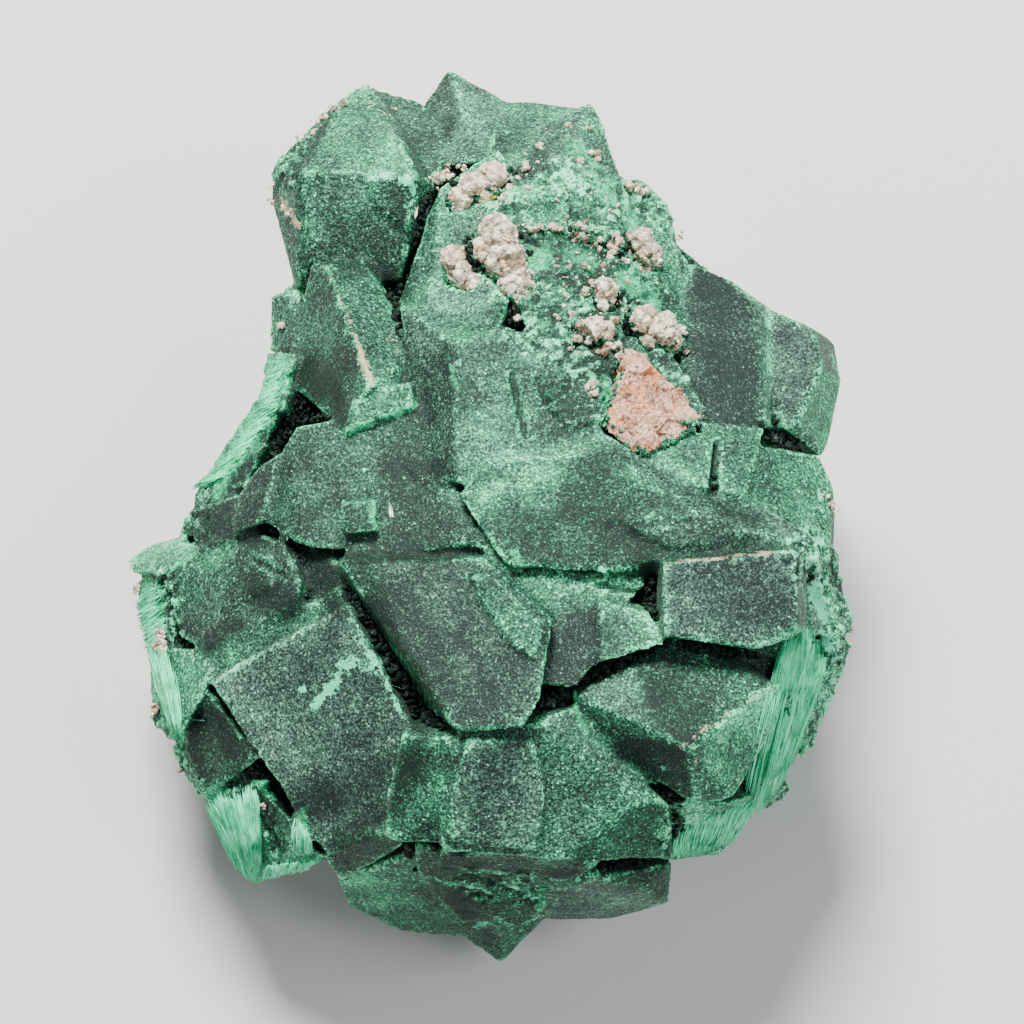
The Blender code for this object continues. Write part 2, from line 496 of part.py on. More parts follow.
def flank_bodies():
    # Rings of blocks on the sides that the view hides, moved in until they stay behind the outline.
    chance = random.Random(5)
    for ring, (height, count, half) in enumerate(FLANK_RINGS):
        for index in range(count):
            angle = math.tau * (index + 0.5 * (ring % 2)) / count + chance.uniform(-0.12, 0.12)
            near = FRONT_SHRINK if math.sin(angle) < -0.35 else 1.0
            size = [half * near * chance.uniform(0.8, 1.3) for _ in range(3)]
            turn = Matrix.Rotation(angle, 3, "Z") @ Matrix.Rotation(chance.uniform(-0.6, 0.6), 3, "Y")
            turn = turn @ Matrix.Rotation(chance.uniform(-0.7, 0.7), 3, "X")
            reach = FLANK_REACH + 0.1 * ring
            while True:
                middle = Vector((
                    BASE_RADII[0] * reach * math.cos(angle),
                    AXIS_Y + BASE_RADII[1] * reach * math.sin(angle),
                    height,
                ))
                corners = []
                for i in (-1, 1):
                    for j in (-1, 1):
                        for k in (-1, 1):
                            skew = Vector((i + 0.16 * j, j, k + 0.14 * i))
                            step = Vector(skew[axis] * size[axis] for axis in range(3))
                            corners.append(middle + turn @ step)
                shown = [seen(corner) for corner in corners]
                if all(inside_outline(a + FLANK_MARGIN * s, d) for a, d in shown for s in (-1, 1)):
                    break
                reach -= 0.03
                if reach < 0.3:
                    break
            yield f"flank_{ring}_{index}", corners


def inner_body():
    points = [place(*corner) for corner in INNER_TOP]
    chance = random.Random(3)
    for index in range(BASE_SIDES):
        angle = math.tau * index / BASE_SIDES
        reach = chance.uniform(0.88, 1.04)
        x = BASE_RADII[0] * reach * math.cos(angle)
        y = AXIS_Y + BASE_RADII[1] * reach * math.sin(angle)
        points.append(Vector((x, y, -2.0)))
    return points


def on_surface(tree, across, down):
    # The first point that the line of sight through a place meets, and the way back to the eye.
    far = place(across, down, MIDDLE_HEIGHT)
    ray = (far - EYE).normalized()
    hit = tree.ray_cast(EYE * MM, ray)[0]
    return hit / MM, -ray


def lump_bodies(tree, lumps, chance):
    # A lump is a hull of corners scattered evenly over a ball that sits half into the face.
    # All lumps of a grain sit at the same distance from the eye, so that they meet.
    seats = [on_surface(tree, across, down) for across, down, _ in lumps]
    distance = sum((point - EYE).length for point, _ in seats) / len(seats)
    for (_, back), (_, _, radius) in zip(seats, lumps):
        middle = EYE - back * (distance - radius * LUMP_PROUD)
        turn = chance.uniform(0.0, math.tau)
        corners = []
        for index in range(LUMP_CORNERS):
            height = 1.0 - 2.0 * (index + 0.5) / LUMP_CORNERS
            angle = turn + index * math.pi * (3.0 - math.sqrt(5.0))
            level = math.sqrt(1.0 - height * height)
            ray = Vector((level * math.cos(angle), level * math.sin(angle), height))
            corners.append(middle + ray * radius * chance.uniform(0.84, 1.08))
        yield corners


def ledge_bodies(tree):
    for name, (outline, lift) in LEDGES.items():
        corners = []
        for across, down in outline:
            point, back = on_surface(tree, across, down)
            corners.append(point + back * lift)
        yield name, rooted(corners, LEDGE_ROOT, LEDGE_TAPER)


def crack_bodies(tree):
    # A crack is a thin wedge: wide above the face, a line at its bottom.
    for name, (start, end, width) in CRACKS.items():
        first, back = on_surface(tree, *start)
        last, _ = on_surface(tree, *end)
        side = (last - first).cross(back).normalized() * width / 2
        corners = []
        for point in (first, last):
            corners += [point + back + side * 1.6, point + back - side * 1.6]
        corners.append(first.lerp(last, 0.2) - back * CRACK_DEPTH)
        corners.append(first.lerp(last, 0.8) - back * CRACK_DEPTH)
        yield name, corners


def surface_tree(obj):
    tree = BVHTree.FromPolygons(
        [vertex.co for vertex in obj.data.vertices],
        [polygon.vertices for polygon in obj.data.polygons],
    )
    return tree


def boolean(obj, operation, bodies):
    # Joins or cuts an object with a list of helper bodies, which are removed afterwards.
    group = bpy.data.collections.new("helpers")
    bpy.context.scene.collection.children.link(group)
    for body in bodies:
        body.hide_render = True
        body.display_type = "WIRE"
        group.objects.link(body)
    modifier = obj.modifiers.new(operation.lower(), "BOOLEAN")
    modifier.operation = operation
    modifier.solver = "EXACT"
    modifier.operand_type = "COLLECTION"
    modifier.collection = group
    bpy.context.view_layer.update()
    mesh = bpy.data.meshes.new_from_object(obj.evaluated_get(bpy.context.evaluated_depsgraph_get()))
    obj.modifiers.clear()
    obj.data = mesh
    for body in bodies:
        bpy.data.objects.remove(body)
    bpy.data.collections.remove(group)


def keep_outer_shell(mesh):
    # Drops closed pockets between the crystals and any loose crumb, and keeps the outer skin.
    bm = bmesh.new()
    bm.from_mesh(mesh)
    bmesh.ops.dissolve_degenerate(bm, dist=1e-7, edges=list(bm.edges))
    todo = set(bm.faces)
    shells = []
    while todo:
        stack = [todo.pop()]
        shell = []
        while stack:
            face = stack.pop()
            shell.append(face)
            for edge in face.edges:
                for other in edge.link_faces:
                    if other in todo:
                        todo.discard(other)
                        stack.append(other)
        shells.append(shell)
    shells.sort(key=len, reverse=True)
    for shell in shells[1:]:
        bmesh.ops.delete(bm, geom=shell, context="FACES")
    bm.to_mesh(mesh)
    bm.free()


def below_cut():
    # Everything under the flat cut.
    mesh = bpy.data.meshes.new("below_cut")
    bm = bmesh.new()
    bmesh.ops.create_cube(bm, size=STOCK * MM, matrix=Matrix.Translation((0.0, 0.0, -STOCK * MM / 2)))
    bm.to_mesh(mesh)
    bm.free()
    return bpy.data.objects.new("below_cut", mesh)


def build_cluster():
    cluster = solid("malachite_cluster", inner_body())
    bpy.context.scene.collection.objects.link(cluster)
    bodies = [solid(name, points, held=True) for name, points in crystal_bodies()]
    bodies += [solid(name, points, held=True) for name, points in bundle_bodies()]
    bodies += [solid(name, points) for name, points in flank_bodies()]
    boolean(cluster, "UNION", bodies)
    tree = surface_tree(cluster)
    boolean(cluster, "UNION", [solid(name, points) for name, points in ledge_bodies(tree)])
    return cluster


def build_grains(tree):
    # Each grain comes with the larger bodies that cut its seat.
    chance = random.Random(23)
    grains = []
    seats = []
    for name, (kind, lumps) in GRAINS.items():
        bodies = list(lump_bodies(tree, lumps, chance))
        grain = solid(name, bodies[0], flat_angle=GRAIN_FLAT_ANGLE)
        bpy.context.scene.collection.objects.link(grain)
        for body in bodies[1:]:
            boolean(grain, "UNION", [solid(f"{name}_lump", body, flat_angle=GRAIN_FLAT_ANGLE)])
        grain.data.materials.clear()
        grain.data.materials.append(material(kind))
        grains.append(grain)
        seats += [solid(f"{name}_seat", body, SEAT_GAP, GRAIN_FLAT_ANGLE) for body in bodies]
    corners = []
    for across, down, lift in CHUNK_CORNERS:
        point, back = on_surface(tree, across, down)
        corners.append(point + back * lift)
    corners = rooted(corners, CHUNK_ROOT, ROOT_TAPER)
    chunk = solid("pink_chunk", corners, flat_angle=GRAIN_FLAT_ANGLE)
    chunk.data.materials.append(material("pink_feldspar"))
    bpy.context.scene.collection.objects.link(chunk)
    seats.append(solid("chunk_seat", corners, SEAT_GAP, GRAIN_FLAT_ANGLE))
    return grains + [chunk], seats


def build():
    for obj in list(bpy.data.objects):
        bpy.data.objects.remove(obj)
    cluster = build_cluster()
    tree = surface_tree(cluster)
    grains, seats = build_grains(tree)
    cracks = [solid(name, corners) for name, corners in crack_bodies(tree)]
    boolean(cluster, "DIFFERENCE", seats + cracks + [below_cut()])
    keep_outer_shell(cluster.data)
    cluster.data.materials.clear()
    cluster.data.materials.append(material("malachite"))

    # The origin is moved to the middle of the box, on the cut.
    parts = [cluster] + grains
    corners = [vertex.co for part in parts for vertex in part.data.vertices]
    middle_x = (min(c.x for c in corners) + max(c.x for c in corners)) / 2
    middle_y = (min(c.y for c in corners) + max(c.y for c in corners)) / 2
    lowest = min(c.z for c in corners)
    for part in parts:
        part.data.transform(Matrix.Translation((-middle_x, -middle_y, -lowest)))


build()
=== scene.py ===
# Malachite specimen: the finish of its velvety skin, broken rims and seated pale grains.
import json
import math

import bmesh
import bpy
import numpy as np
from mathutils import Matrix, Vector

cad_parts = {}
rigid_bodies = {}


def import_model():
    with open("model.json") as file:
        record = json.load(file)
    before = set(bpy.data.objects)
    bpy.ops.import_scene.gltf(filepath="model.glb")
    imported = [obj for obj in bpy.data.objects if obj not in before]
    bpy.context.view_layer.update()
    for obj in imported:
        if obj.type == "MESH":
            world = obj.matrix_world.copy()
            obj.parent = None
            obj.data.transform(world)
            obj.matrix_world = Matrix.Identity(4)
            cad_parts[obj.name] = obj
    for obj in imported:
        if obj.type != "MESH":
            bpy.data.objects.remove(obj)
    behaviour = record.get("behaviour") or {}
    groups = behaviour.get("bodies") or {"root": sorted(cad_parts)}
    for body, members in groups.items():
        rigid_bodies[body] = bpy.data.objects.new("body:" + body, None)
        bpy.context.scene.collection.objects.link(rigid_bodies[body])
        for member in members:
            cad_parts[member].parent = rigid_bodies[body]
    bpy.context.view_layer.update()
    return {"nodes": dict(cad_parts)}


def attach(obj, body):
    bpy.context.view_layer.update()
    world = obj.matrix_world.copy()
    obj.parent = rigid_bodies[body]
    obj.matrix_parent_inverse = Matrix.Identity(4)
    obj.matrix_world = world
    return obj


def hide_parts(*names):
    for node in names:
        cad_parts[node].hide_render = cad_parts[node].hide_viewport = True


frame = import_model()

mm = 0.001

# The view that the places below are given in: millimetres across and down a square picture.
viewing = {
    "elevation": math.radians(68.0),
    "distance": 330.0,
    "middle": (2.841, -7.687, 32.0),
    "pictureWidth": 102.4,
}
sinView = math.sin(viewing["elevation"])
cosView = math.cos(viewing["elevation"])
viewMiddle = np.array(viewing["middle"])
towardsEye = np.array([0.0, -cosView, sinView])
viewUp = np.array([0.0, sinView, cosView])
viewRight = np.array([1.0, 0.0, 0.0])


def shownAt(points):
    # Across, down and depth: the offsets along the view's axes over the shrinking with depth.
    offset = points - viewMiddle
    depth = offset @ towardsEye
    scale = 1 - depth / viewing["distance"]
    half = viewing["pictureWidth"] / 2
    return half + offset @ viewRight / scale, half - offset @ viewUp / scale, depth


def fromView(across, down, depth):
    # The point on the line of sight through a place in the view, at a depth towards the eye.
    scale = 1 - depth / viewing["distance"]
    half = viewing["pictureWidth"] / 2
    right = ((across - half) * scale)[..., None] * viewRight
    up = ((half - down) * scale)[..., None] * viewUp
    return viewMiddle + right + up + depth[..., None] * towardsEye


# Helpers that work on whole arrays


def cellHash(cells, seed):
    # A number from 0 to 1 for each whole-number cell, mixed from its three coordinates and a seed.
    whole = cells.astype(np.int64).astype(np.uint64)
    mixed = whole[..., 0] * np.uint64(73856093) ^ whole[..., 1] * np.uint64(19349663)
    mixed = mixed ^ whole[..., 2] * np.uint64(83492791) ^ np.uint64(seed * 2654435761 % 4294967296)
    mixed = (mixed ^ (mixed >> np.uint64(15))) * np.uint64(2246822519) & np.uint64(0xFFFFFFFF)
    mixed = (mixed ^ (mixed >> np.uint64(13))) * np.uint64(3266489917) & np.uint64(0xFFFFFFFF)
    return ((mixed ^ (mixed >> np.uint64(16))) & np.uint64(0xFFFF)).astype(float) / 65535.0


def noise(points, size, seed):
    # Smooth noise from -1 to 1: the eight lattice corners around a point, blended by 3t^2 - 2t^3.
    scaled = points / size
    base = np.floor(scaled)
    part = scaled - base
    part = part * part * (3 - 2 * part)
    total = np.zeros(len(points))
    for corner in range(8):
        step = np.array([corner & 1, corner >> 1 & 1, corner >> 2 & 1])
        weight = np.prod(np.where(step, part, 1 - part), axis=1)
        total += weight * cellHash(base + step, seed)
    return total * 2 - 1


def layered(points, size, seed, octaves=3):
    # Noise at sizes that halve, each at half the strength of the one before.
    total = sum(noise(points, size / 2 ** k, seed + k) / 2 ** k for k in range(octaves))
    return total / sum(1 / 2 ** k for k in range(octaves))


def brokenFacets(points, size, seed):
    # The points nearest a cell's middle rise by its own number and slope its own way, like crystals' faces.
    scaled = points / size
    base = np.floor(scaled)
    nearest = np.full(len(points), 9.0)
    number = np.zeros(len(points))
    slope = np.zeros(len(points))
    for step in np.ndindex(3, 3, 3):
        cell = base + np.array(step) - 1
        centre = cell + np.stack([cellHash(cell, seed + n) for n in (1, 2, 3)], axis=1)
        away = np.linalg.norm(scaled - centre, axis=1)
        closer = away < nearest
        own = cellHash(cell, seed + 4)
        lean = np.stack([np.cos(own * 40), np.sin(own * 57), np.cos(own * 91)], axis=1)
        nearest = np.where(closer, away, nearest)
        number = np.where(closer, own, number)
        slope = np.where(closer, np.einsum("ij,ij->i", scaled - centre, lean), slope)
    return number - 0.5 + slope * 0.9 - nearest * 0.3, number


def smoothStep(values, low, high):
    # 3t^2 - 2t^3 of how far a value has come from low to high.
    part = np.clip((values - low) / (high - low), 0, 1)
    return part * part * (3 - 2 * part)


def normalsOf(points, faces):
    # Each corner's normal is the sum of its faces' cross products of diagonals, made one long.
    across = np.cross(points[faces[:, 2]] - points[faces[:, 0]], points[faces[:, 3]] - points[faces[:, 1]])
    total = np.zeros_like(points)
    for column in range(faces.shape[1]):
        for axis in range(3):
            total[:, axis] += np.bincount(faces[:, column], across[:, axis], len(points))
    return total / np.maximum(np.linalg.norm(total, axis=1, keepdims=True), 1e-12)


class Neighbours:
    # The edges of a mesh, for averages over each point's neighbours.
    def __init__(self, faces, count):
        pairs = np.concatenate([faces[:, [k, (k + 1) % faces.shape[1]]] for k in range(faces.shape[1])])
        pairs = np.unique(np.sort(pairs, axis=1), axis=0)
        self.first, self.second, self.count = pairs[:, 0], pairs[:, 1], count
        self.degree = np.maximum(np.bincount(pairs.ravel(), minlength=count), 1)

    def average(self, values, times=1):
        # The mean of a point's neighbours and itself, taken several times over.
        for _ in range(times):
            columns = values[:, None] if values.ndim == 1 else values
            made = np.empty_like(columns)
            for axis in range(columns.shape[1]):
                near = np.bincount(self.first, columns[self.second, axis], self.count)
                near += np.bincount(self.second, columns[self.first, axis], self.count)
                made[:, axis] = (near / self.degree + columns[:, axis]) / 2
            values = made.reshape(values.shape)
        return values


def meshOf(name, points, faces, smooth=True, marks=None, normals=None):
    # Points in millimetres and faces with equal numbers of corners become a mesh, with given normals if any.
    mesh = bpy.data.meshes.new(name)
    mesh.vertices.add(len(points))
    mesh.vertices.foreach_set("co", (points * mm).ravel())
    mesh.loops.add(faces.size)
    mesh.loops.foreach_set("vertex_index", faces.ravel().astype(np.int32))
    mesh.polygons.add(len(faces))
    mesh.polygons.foreach_set("loop_start", (np.arange(len(faces)) * faces.shape[1]).astype(np.int32))
    mesh.update(calc_edges=True)
    mesh.validate()
    mesh.polygons.foreach_set("use_smooth", np.full(len(faces), smooth))
    for key, values in (marks or {}).items():
        mesh.attributes.new(key, "FLOAT", "POINT").data.foreach_set("value", values.astype(np.float32))
    if normals is not None:
        mesh.normals_split_custom_set_from_vertices(normals)
    return mesh


def addPiece(name, mesh, finish, slot, *nodes):
    piece = bpy.data.objects.new(name, mesh)
    bpy.context.scene.collection.objects.link(piece)
    mesh.materials.clear()
    mesh.materials.append(finish)
    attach(piece, "root")
    if nodes:
        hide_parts(*nodes)
    return piece


def nodeArrays(node):
    # A CAD node's points in millimetres and its triangles, with doubled corners merged.
    bm = bmesh.new()
    bm.from_mesh(frame["nodes"][node].data)
    bmesh.ops.remove_doubles(bm, verts=bm.verts, dist=1e-6)
    bmesh.ops.triangulate(bm, faces=bm.faces)
    bm.verts.ensure_lookup_table()
    points = np.array([corner.co[:] for corner in bm.verts]) / mm
    faces = np.array([[corner.index for corner in face.verts] for face in bm.faces])
    bm.free()
    return points, faces


def remeshed(node, cell):
    # A CAD node's closed solid becomes one even skin of four-cornered faces, a cell wide.
    holder = bpy.data.objects.new("holder", meshOf("holder", *nodeArrays(node), False))
    bpy.context.scene.collection.objects.link(holder)
    change = holder.modifiers.new("even", "REMESH")
    change.mode = "VOXEL"
    change.voxel_size = cell * mm
    bpy.context.view_layer.update()
    even = holder.evaluated_get(bpy.context.evaluated_depsgraph_get()).to_mesh()
    made = np.empty(len(even.vertices) * 3)
    even.vertices.foreach_get("co", made)
    corners = np.empty(len(even.loops), np.int32)
    even.loops.foreach_get("vertex_index", corners)
    bpy.data.objects.remove(holder)
    return made.reshape(-1, 3) / mm, corners.reshape(-1, 4).astype(np.int64)


class DepthMap:
    # The depth towards the eye of the nearest surface, on a fine grid over the picture.
    step = 0.4          # mm across one of its cells
    nothing = -99.0     # the depth of a cell that no surface shows in
    beside = 12         # how many cells outside the outline take the depth beside them

    def __init__(self, points):
        size = int(viewing["pictureWidth"] / self.step) + 2
        self.grid = np.full((size, size), self.nothing)
        across, down, depth = shownAt(points)
        np.maximum.at(self.grid, self.cellAt(across, down), depth)
        self.inside = self.grid > self.nothing
        for _ in range(self.beside):
            filled = np.maximum.reduce(self.withBeside(self.grid))
            self.grid = np.where(self.grid == self.nothing, filled, self.grid)

    def cellAt(self, across, down):
        # The row and the column of the cell at each place, kept inside the grid.
        last = len(self.grid) - 1
        return tuple(np.clip((place / self.step).astype(int), 0, last) for place in (down, across))

    def spread(self, steps, choose):
        # The same map with every cell the highest (or lowest) of those within some steps.
        wide = object.__new__(DepthMap)
        wide.grid, wide.inside = self.grid, self.inside
        for _ in range(steps):
            wide.inside = np.minimum.reduce(self.withBeside(wide.inside))
            wide.grid = choose(self.withBeside(wide.grid))
        return wide

    def withBeside(self, grid):
        # The grid, and the grid moved by one cell each way.
        return [grid] + [np.roll(grid, shift, axis) for shift in (1, -1) for axis in (0, 1)]

    def raised(self, steps):
        return self.spread(steps, np.maximum.reduce)

    def closed(self, steps):
        # Pits narrower than twice the steps are filled to the height of what surrounds them.
        return self.raised(steps).spread(steps, np.minimum.reduce)

    def at(self, across, down, kind="grid"):
        return getattr(self, kind)[self.cellAt(across, down)]


def strokeMask(across, down, lines):
    # How near each place is to the nearest line: its strength on the line, none at its width.
    mask = np.zeros(len(across))
    for width, line, *strength in lines:
        line = np.array(line if len(line) > 1 else line * 2, float)
        for (x0, y0), (x1, y1) in zip(line[:-1], line[1:]):
            length = (x1 - x0) ** 2 + (y1 - y0) ** 2
            part = ((across - x0) * (x1 - x0) + (down - y0) * (y1 - y0)) / max(length, 1e-9)
            part = np.clip(part, 0, 1)
            away = np.hypot(across - x0 - part * (x1 - x0), down - y0 - part * (y1 - y0))
            mask = np.maximum(mask, np.clip(1 - away / width, 0, 1) * (strength[0] if strength else 1))
    return mask


# Shader maths


class Wire:
    # A socket that adds Math nodes when it is used in an expression.
    def __init__(self, finish, socket):
        self.finish, self.socket = finish, socket

    def math(self, operation, *others, clamp=False):
        settings = {"operation": operation, "use_clamp": clamp}
        return self.finish.node("ShaderNodeMath", settings, {0: self, **dict(enumerate(others, 1))})

    def __add__(self, other):
        return self.math("ADD", other)

    __radd__ = __add__

    def __sub__(self, other):
        return self.math("SUBTRACT", other)

    def __rsub__(self, other):
        return self.finish.node("ShaderNodeMath", {"operation": "SUBTRACT"}, {0: other, 1: self})

    def __mul__(self, other):
        return self.math("MULTIPLY", other)

    __rmul__ = __mul__

    def clip(self):
        return self.math("ADD", 0.0, clamp=True)

    def step(self, low, high):
        # Rises smoothly from none at low to one at high.
        inputs = {"Value": self, "From Min": low, "From Max": high}
        return self.finish.node("ShaderNodeMapRange", {"interpolation_type": "SMOOTHSTEP"}, inputs)


class Finish:
    # A material and the nodes that its expressions add.
    def __init__(self, name):
        self.material = bpy.data.materials.new(name)
        self.material.use_nodes = True
        self.tree = self.material.node_tree
        self.tree.nodes.clear()
        self.place = self.node("ShaderNodeTexCoord", out="Object")

    def node(self, kind, settings=None, inputs=None, out=0):
        made = self.tree.nodes.new(kind)
        for key, value in (settings or {}).items():
            if key == "stops":
                while len(made.color_ramp.elements) < len(value):
                    made.color_ramp.elements.new(0.5)
                for element, (position, colour) in zip(made.color_ramp.elements, value):
                    element.position, element.color = position, (*colour, 1)
            else:
                setattr(made, key, value)
        for key, value in (inputs or {}).items():
            if isinstance(value, Wire):
                self.tree.links.new(value.socket, made.inputs[key])
            else:
                made.inputs[key].default_value = value
        return Wire(self, made.outputs[out])

    def mark(self, name):
        return self.node("ShaderNodeAttribute", {"attribute_name": name}, out="Fac")

    def noise(self, size, detail=2.0, rough=0.5):
        inputs = {"Vector": self.place, "Scale": 1 / (size * mm), "Detail": detail, "Roughness": rough}
        return self.node("ShaderNodeTexNoise", None, inputs, "Fac")

    def cells(self, size, out="Distance"):
        return self.node("ShaderNodeTexVoronoi", None, {"Vector": self.place, "Scale": 1 / (size * mm)}, out)

    def channel(self, colour, index):
        return self.node("ShaderNodeSeparateColor", None, {0: colour}, index)

    def mix(self, factor, first, second, blend="MIX"):
        settings = {"data_type": "RGBA", "blend_type": blend}
        first = first if isinstance(first, Wire) else (*first, 1)
        second = second if isinstance(second, Wire) else (*second, 1)
        return self.node("ShaderNodeMix", settings, {0: factor, 6: first, 7: second}, 2)

    def ramp(self, value, stops):
        return self.node("ShaderNodeValToRGB", {"stops": stops}, {0: value})

    def bump(self, height, strength, distance, normal=None):
        inputs = {"Height": height, "Strength": strength, "Distance": distance * mm}
        if normal:
            inputs["Normal"] = normal
        return self.node("ShaderNodeBump", None, inputs)

    def finish(self, **inputs):
        # The one Principled shader, with its inputs named as words joined by an underscore.
        named = {key.replace("_", " "): value for key, value in inputs.items()}
        shader = self.node("ShaderNodeBsdfPrincipled", None, named)
        output = self.tree.nodes.new("ShaderNodeOutputMaterial")
        self.tree.links.new(shader.socket, output.inputs["Surface"])
        return self.material


# Finishes

velvet = {
    "grain": 0.16,          # mm across one crystal grain of the skin
    "greys": [
        (0.0, (0.0035, 0.0095, 0.0072)), (0.25, (0.021, 0.047, 0.036)), (0.5, (0.060, 0.120, 0.096)),
        (0.75, (0.132, 0.268, 0.206)), (1.0, (0.380, 0.640, 0.520)),
    ],
    "greens": [
        (0.0, (0.0015, 0.0090, 0.0050)), (0.25, (0.008, 0.050, 0.028)), (0.5, (0.018, 0.150, 0.074)),
        (0.75, (0.048, 0.370, 0.172)), (1.0, (0.210, 0.820, 0.470)),
    ],
    "emeralds": [(0.0, (0.003, 0.080, 0.032)), (0.5, (0.006, 0.340, 0.120)), (1.0, (0.120, 0.820, 0.450))],
    "turquoise": ((0.035, 0.520, 0.300), (0.15, 0.86, 0.53)),
    "tan": ((0.460, 0.350, 0.190), (0.62, 0.55, 0.38)),
    # gully: the near black that hollows, cracks and places in shadow are painted towards
    "gully": (0.0015, 0.0035, 0.0026),
}


def velvetFinish():
    # Fine crystal grains: each grain picks its own step of a dark to pale ramp around the face's tone.
    made = Finish("velvetMalachite")
    grain = made.cells(velvet["grain"], "Color")
    chance = made.channel(grain, 0)
    other = made.channel(grain, 1)
    broad = made.noise(3.4, 4.0)
    drift = made.noise(9.0, 2.0)
    clumps = made.noise(0.6, 3.0)
    fine = made.noise(0.24, 2.0)
    # Painted highlight on rims: sharp convex edges are lightened and made greener, broken up by noise.
    edge = (made.mark("edge") * 1.3 + (clumps - 0.5) * 1.2 + (chance - 0.5) * 0.4 - 0.35).step(0.0, 0.6)
    tone = made.mark("tone") + (drift - 0.5) * 0.80 + (broad - 0.5) * 0.60 - 0.02
    tone = tone + (clumps - 0.5) * 0.60 + edge * 0.30
    # The brightest few grains are lightened further as painted glints.
    level = (tone + (fine - 0.5) * 1.55 + (chance - 0.5) * 0.34 + chance.step(0.93, 1.0) * 0.30).clip()
    greenness = (made.mark("green") * 0.9 + level * 0.5 + (broad - 0.5) * 0.8 + edge * 0.3 - 0.12).clip()
    skin = made.mix(greenness, made.ramp(level, velvet["greys"]), made.ramp(level, velvet["greens"]))
    streak = made.noise(0.35, 3.0)
    emerald = (made.mark("emerald") * 1.5 + (clumps - 0.5) * 1.1 + (broad - 0.5) * 0.8 - 0.35).step(0.0, 0.7)
    streaks = (streak * 1.4 - 0.2 + (chance - 0.5) * 0.6).clip()
    skin = made.mix(emerald * 0.85, skin, made.ramp(streaks, velvet["emeralds"]))
    bruise = (made.mark("turquoise") * 1.6 + (clumps - 0.5) * 2.3 + (fine - 0.5) * 1.2 - 0.50).step(0.0, 0.5)
    skin = made.mix(bruise * 0.9, skin, made.mix(fine, *velvet["turquoise"]))
    cream = (made.mark("tan") * 1.3 + (clumps - 0.5) * 1.4 + (fine - 0.5) * 1.2 - 0.45).step(0.0, 0.6)
    skin = made.mix(cream * 0.7, skin, made.mix(other, *velvet["tan"]))
    # Painted shade: hollows, cracks and places in shadow are mixed towards near black.
    skin = made.mix((made.mark("gully") * 0.95).clip(), skin, velvet["gully"])
    depth = made.cells(velvet["grain"] * 1.1)
    low = made.bump(made.noise(0.8, 3.0), 0.35, 0.25)
    normal = made.bump(1 - depth, 0.7, 0.08, made.bump(fine, 0.6, 0.12, low))
    return made.finish(
        Base_Color=skin, Roughness=0.62 - chance.step(0.8, 1.0) * 0.26, Normal=normal,
        Specular_IOR_Level=0.28, Specular_Tint=(0.70, 0.95, 0.85, 1),
        Sheen_Weight=0.05, Sheen_Roughness=0.4, Sheen_Tint=(0.6, 0.86, 0.7, 1),
    )


silkyGreens = [
    (0.0, (0.002, 0.090, 0.036)), (0.30, (0.005, 0.360, 0.150)),
    (0.62, (0.014, 0.760, 0.350)), (1.0, (0.200, 1.000, 0.640)),
]


def fibreFinish():
    # Silky fibres: each keeps its own green, and drifts of them are paler or darker together.
    made = Finish("silkyFibres")
    own = made.mark("own")
    fleck = made.channel(made.cells(0.15, "Color"), 0)
    drift = made.noise(1.6, 4.0)
    level = (own * 0.52 + made.mark("end") * 0.10 + (drift - 0.5) * 1.2 + fleck * 0.22 + 0.25).clip()
    normal = made.bump(made.noise(0.12, 2.0), 0.5, 0.04)
    return made.finish(
        Base_Color=made.ramp(level, silkyGreens), Roughness=0.38, Normal=normal,
        Specular_IOR_Level=0.5, Sheen_Weight=0.08, Sheen_Roughness=0.4, Sheen_Tint=(0.7, 1, 0.85, 1),
    )


quartz = {
    "cloudy": (0.78, 0.71, 0.54),
    "tips": (0.94, 0.89, 0.75),
    "dark": (0.28, 0.24, 0.19),
    "joints": (0.17, 0.115, 0.075),
    "yellow": (0.80, 0.56, 0.10),
    "green": (0.10, 0.30, 0.19),
}


def quartzFinish(name, clear, stained, amount):
    # Sugary quartz: clear and cream grains, stained in patches, with dark and green joints.
    made = Finish(name)
    own = made.mark("own")
    cloud = made.noise(0.8, 4.0)
    fine = made.noise(0.22, 2.0)
    patch = (made.noise(1.9, 3.0) - 0.56 + (own - 0.5) * 0.12 + amount).step(0.0, 0.16)
    colour = made.mix((cloud - 0.38).step(0.0, 0.24), clear, quartz["cloudy"])
    colour = made.mix(patch * 0.75, colour, stained)
    tips = (own.step(0.62, 1.0) * 0.5 + (fine - 0.5).step(0.0, 0.3) * 0.5).clip()
    colour = made.mix(tips, colour, quartz["tips"])
    colour = made.mix(((fine - 0.44).step(0.0, -0.22) * 0.6).clip(), colour, quartz["dark"])
    joint = (made.cells(0.8) + (fine - 0.5) * 0.5 - 0.46).step(0.0, 0.26)
    colour = made.mix(joint * 0.75, colour, quartz["joints"])
    yellow = (made.mark("yellow") + (cloud - 0.5) * 0.6).step(0.3, 0.6)
    colour = made.mix(yellow * 0.85, colour, quartz["yellow"])
    green = (made.noise(0.5, 3.0) - 0.60).step(0.0, 0.10)
    colour = made.mix(green * 0.45, colour, quartz["green"])
    normal = made.bump(fine, 0.5, 0.06, made.bump(made.noise(0.5, 3.0), 0.5, 0.10))
    return made.finish(
        Base_Color=colour, Roughness=0.16 + cloud * 0.4, Normal=normal, Specular_IOR_Level=0.55,
        Subsurface_Weight=0.08, Subsurface_Radius=(1.0, 0.8, 0.6), Subsurface_Scale=0.0004,
    )


feldspar = {
    "mottles": [
        (0.0, (0.090, 0.044, 0.028)), (0.30, (0.250, 0.130, 0.080)),
        (0.60, (0.430, 0.255, 0.160)), (1.0, (0.660, 0.510, 0.360)),
    ],
    "stain": (0.600, 0.230, 0.090),
    "veil": (0.34, 0.29, 0.25),
}


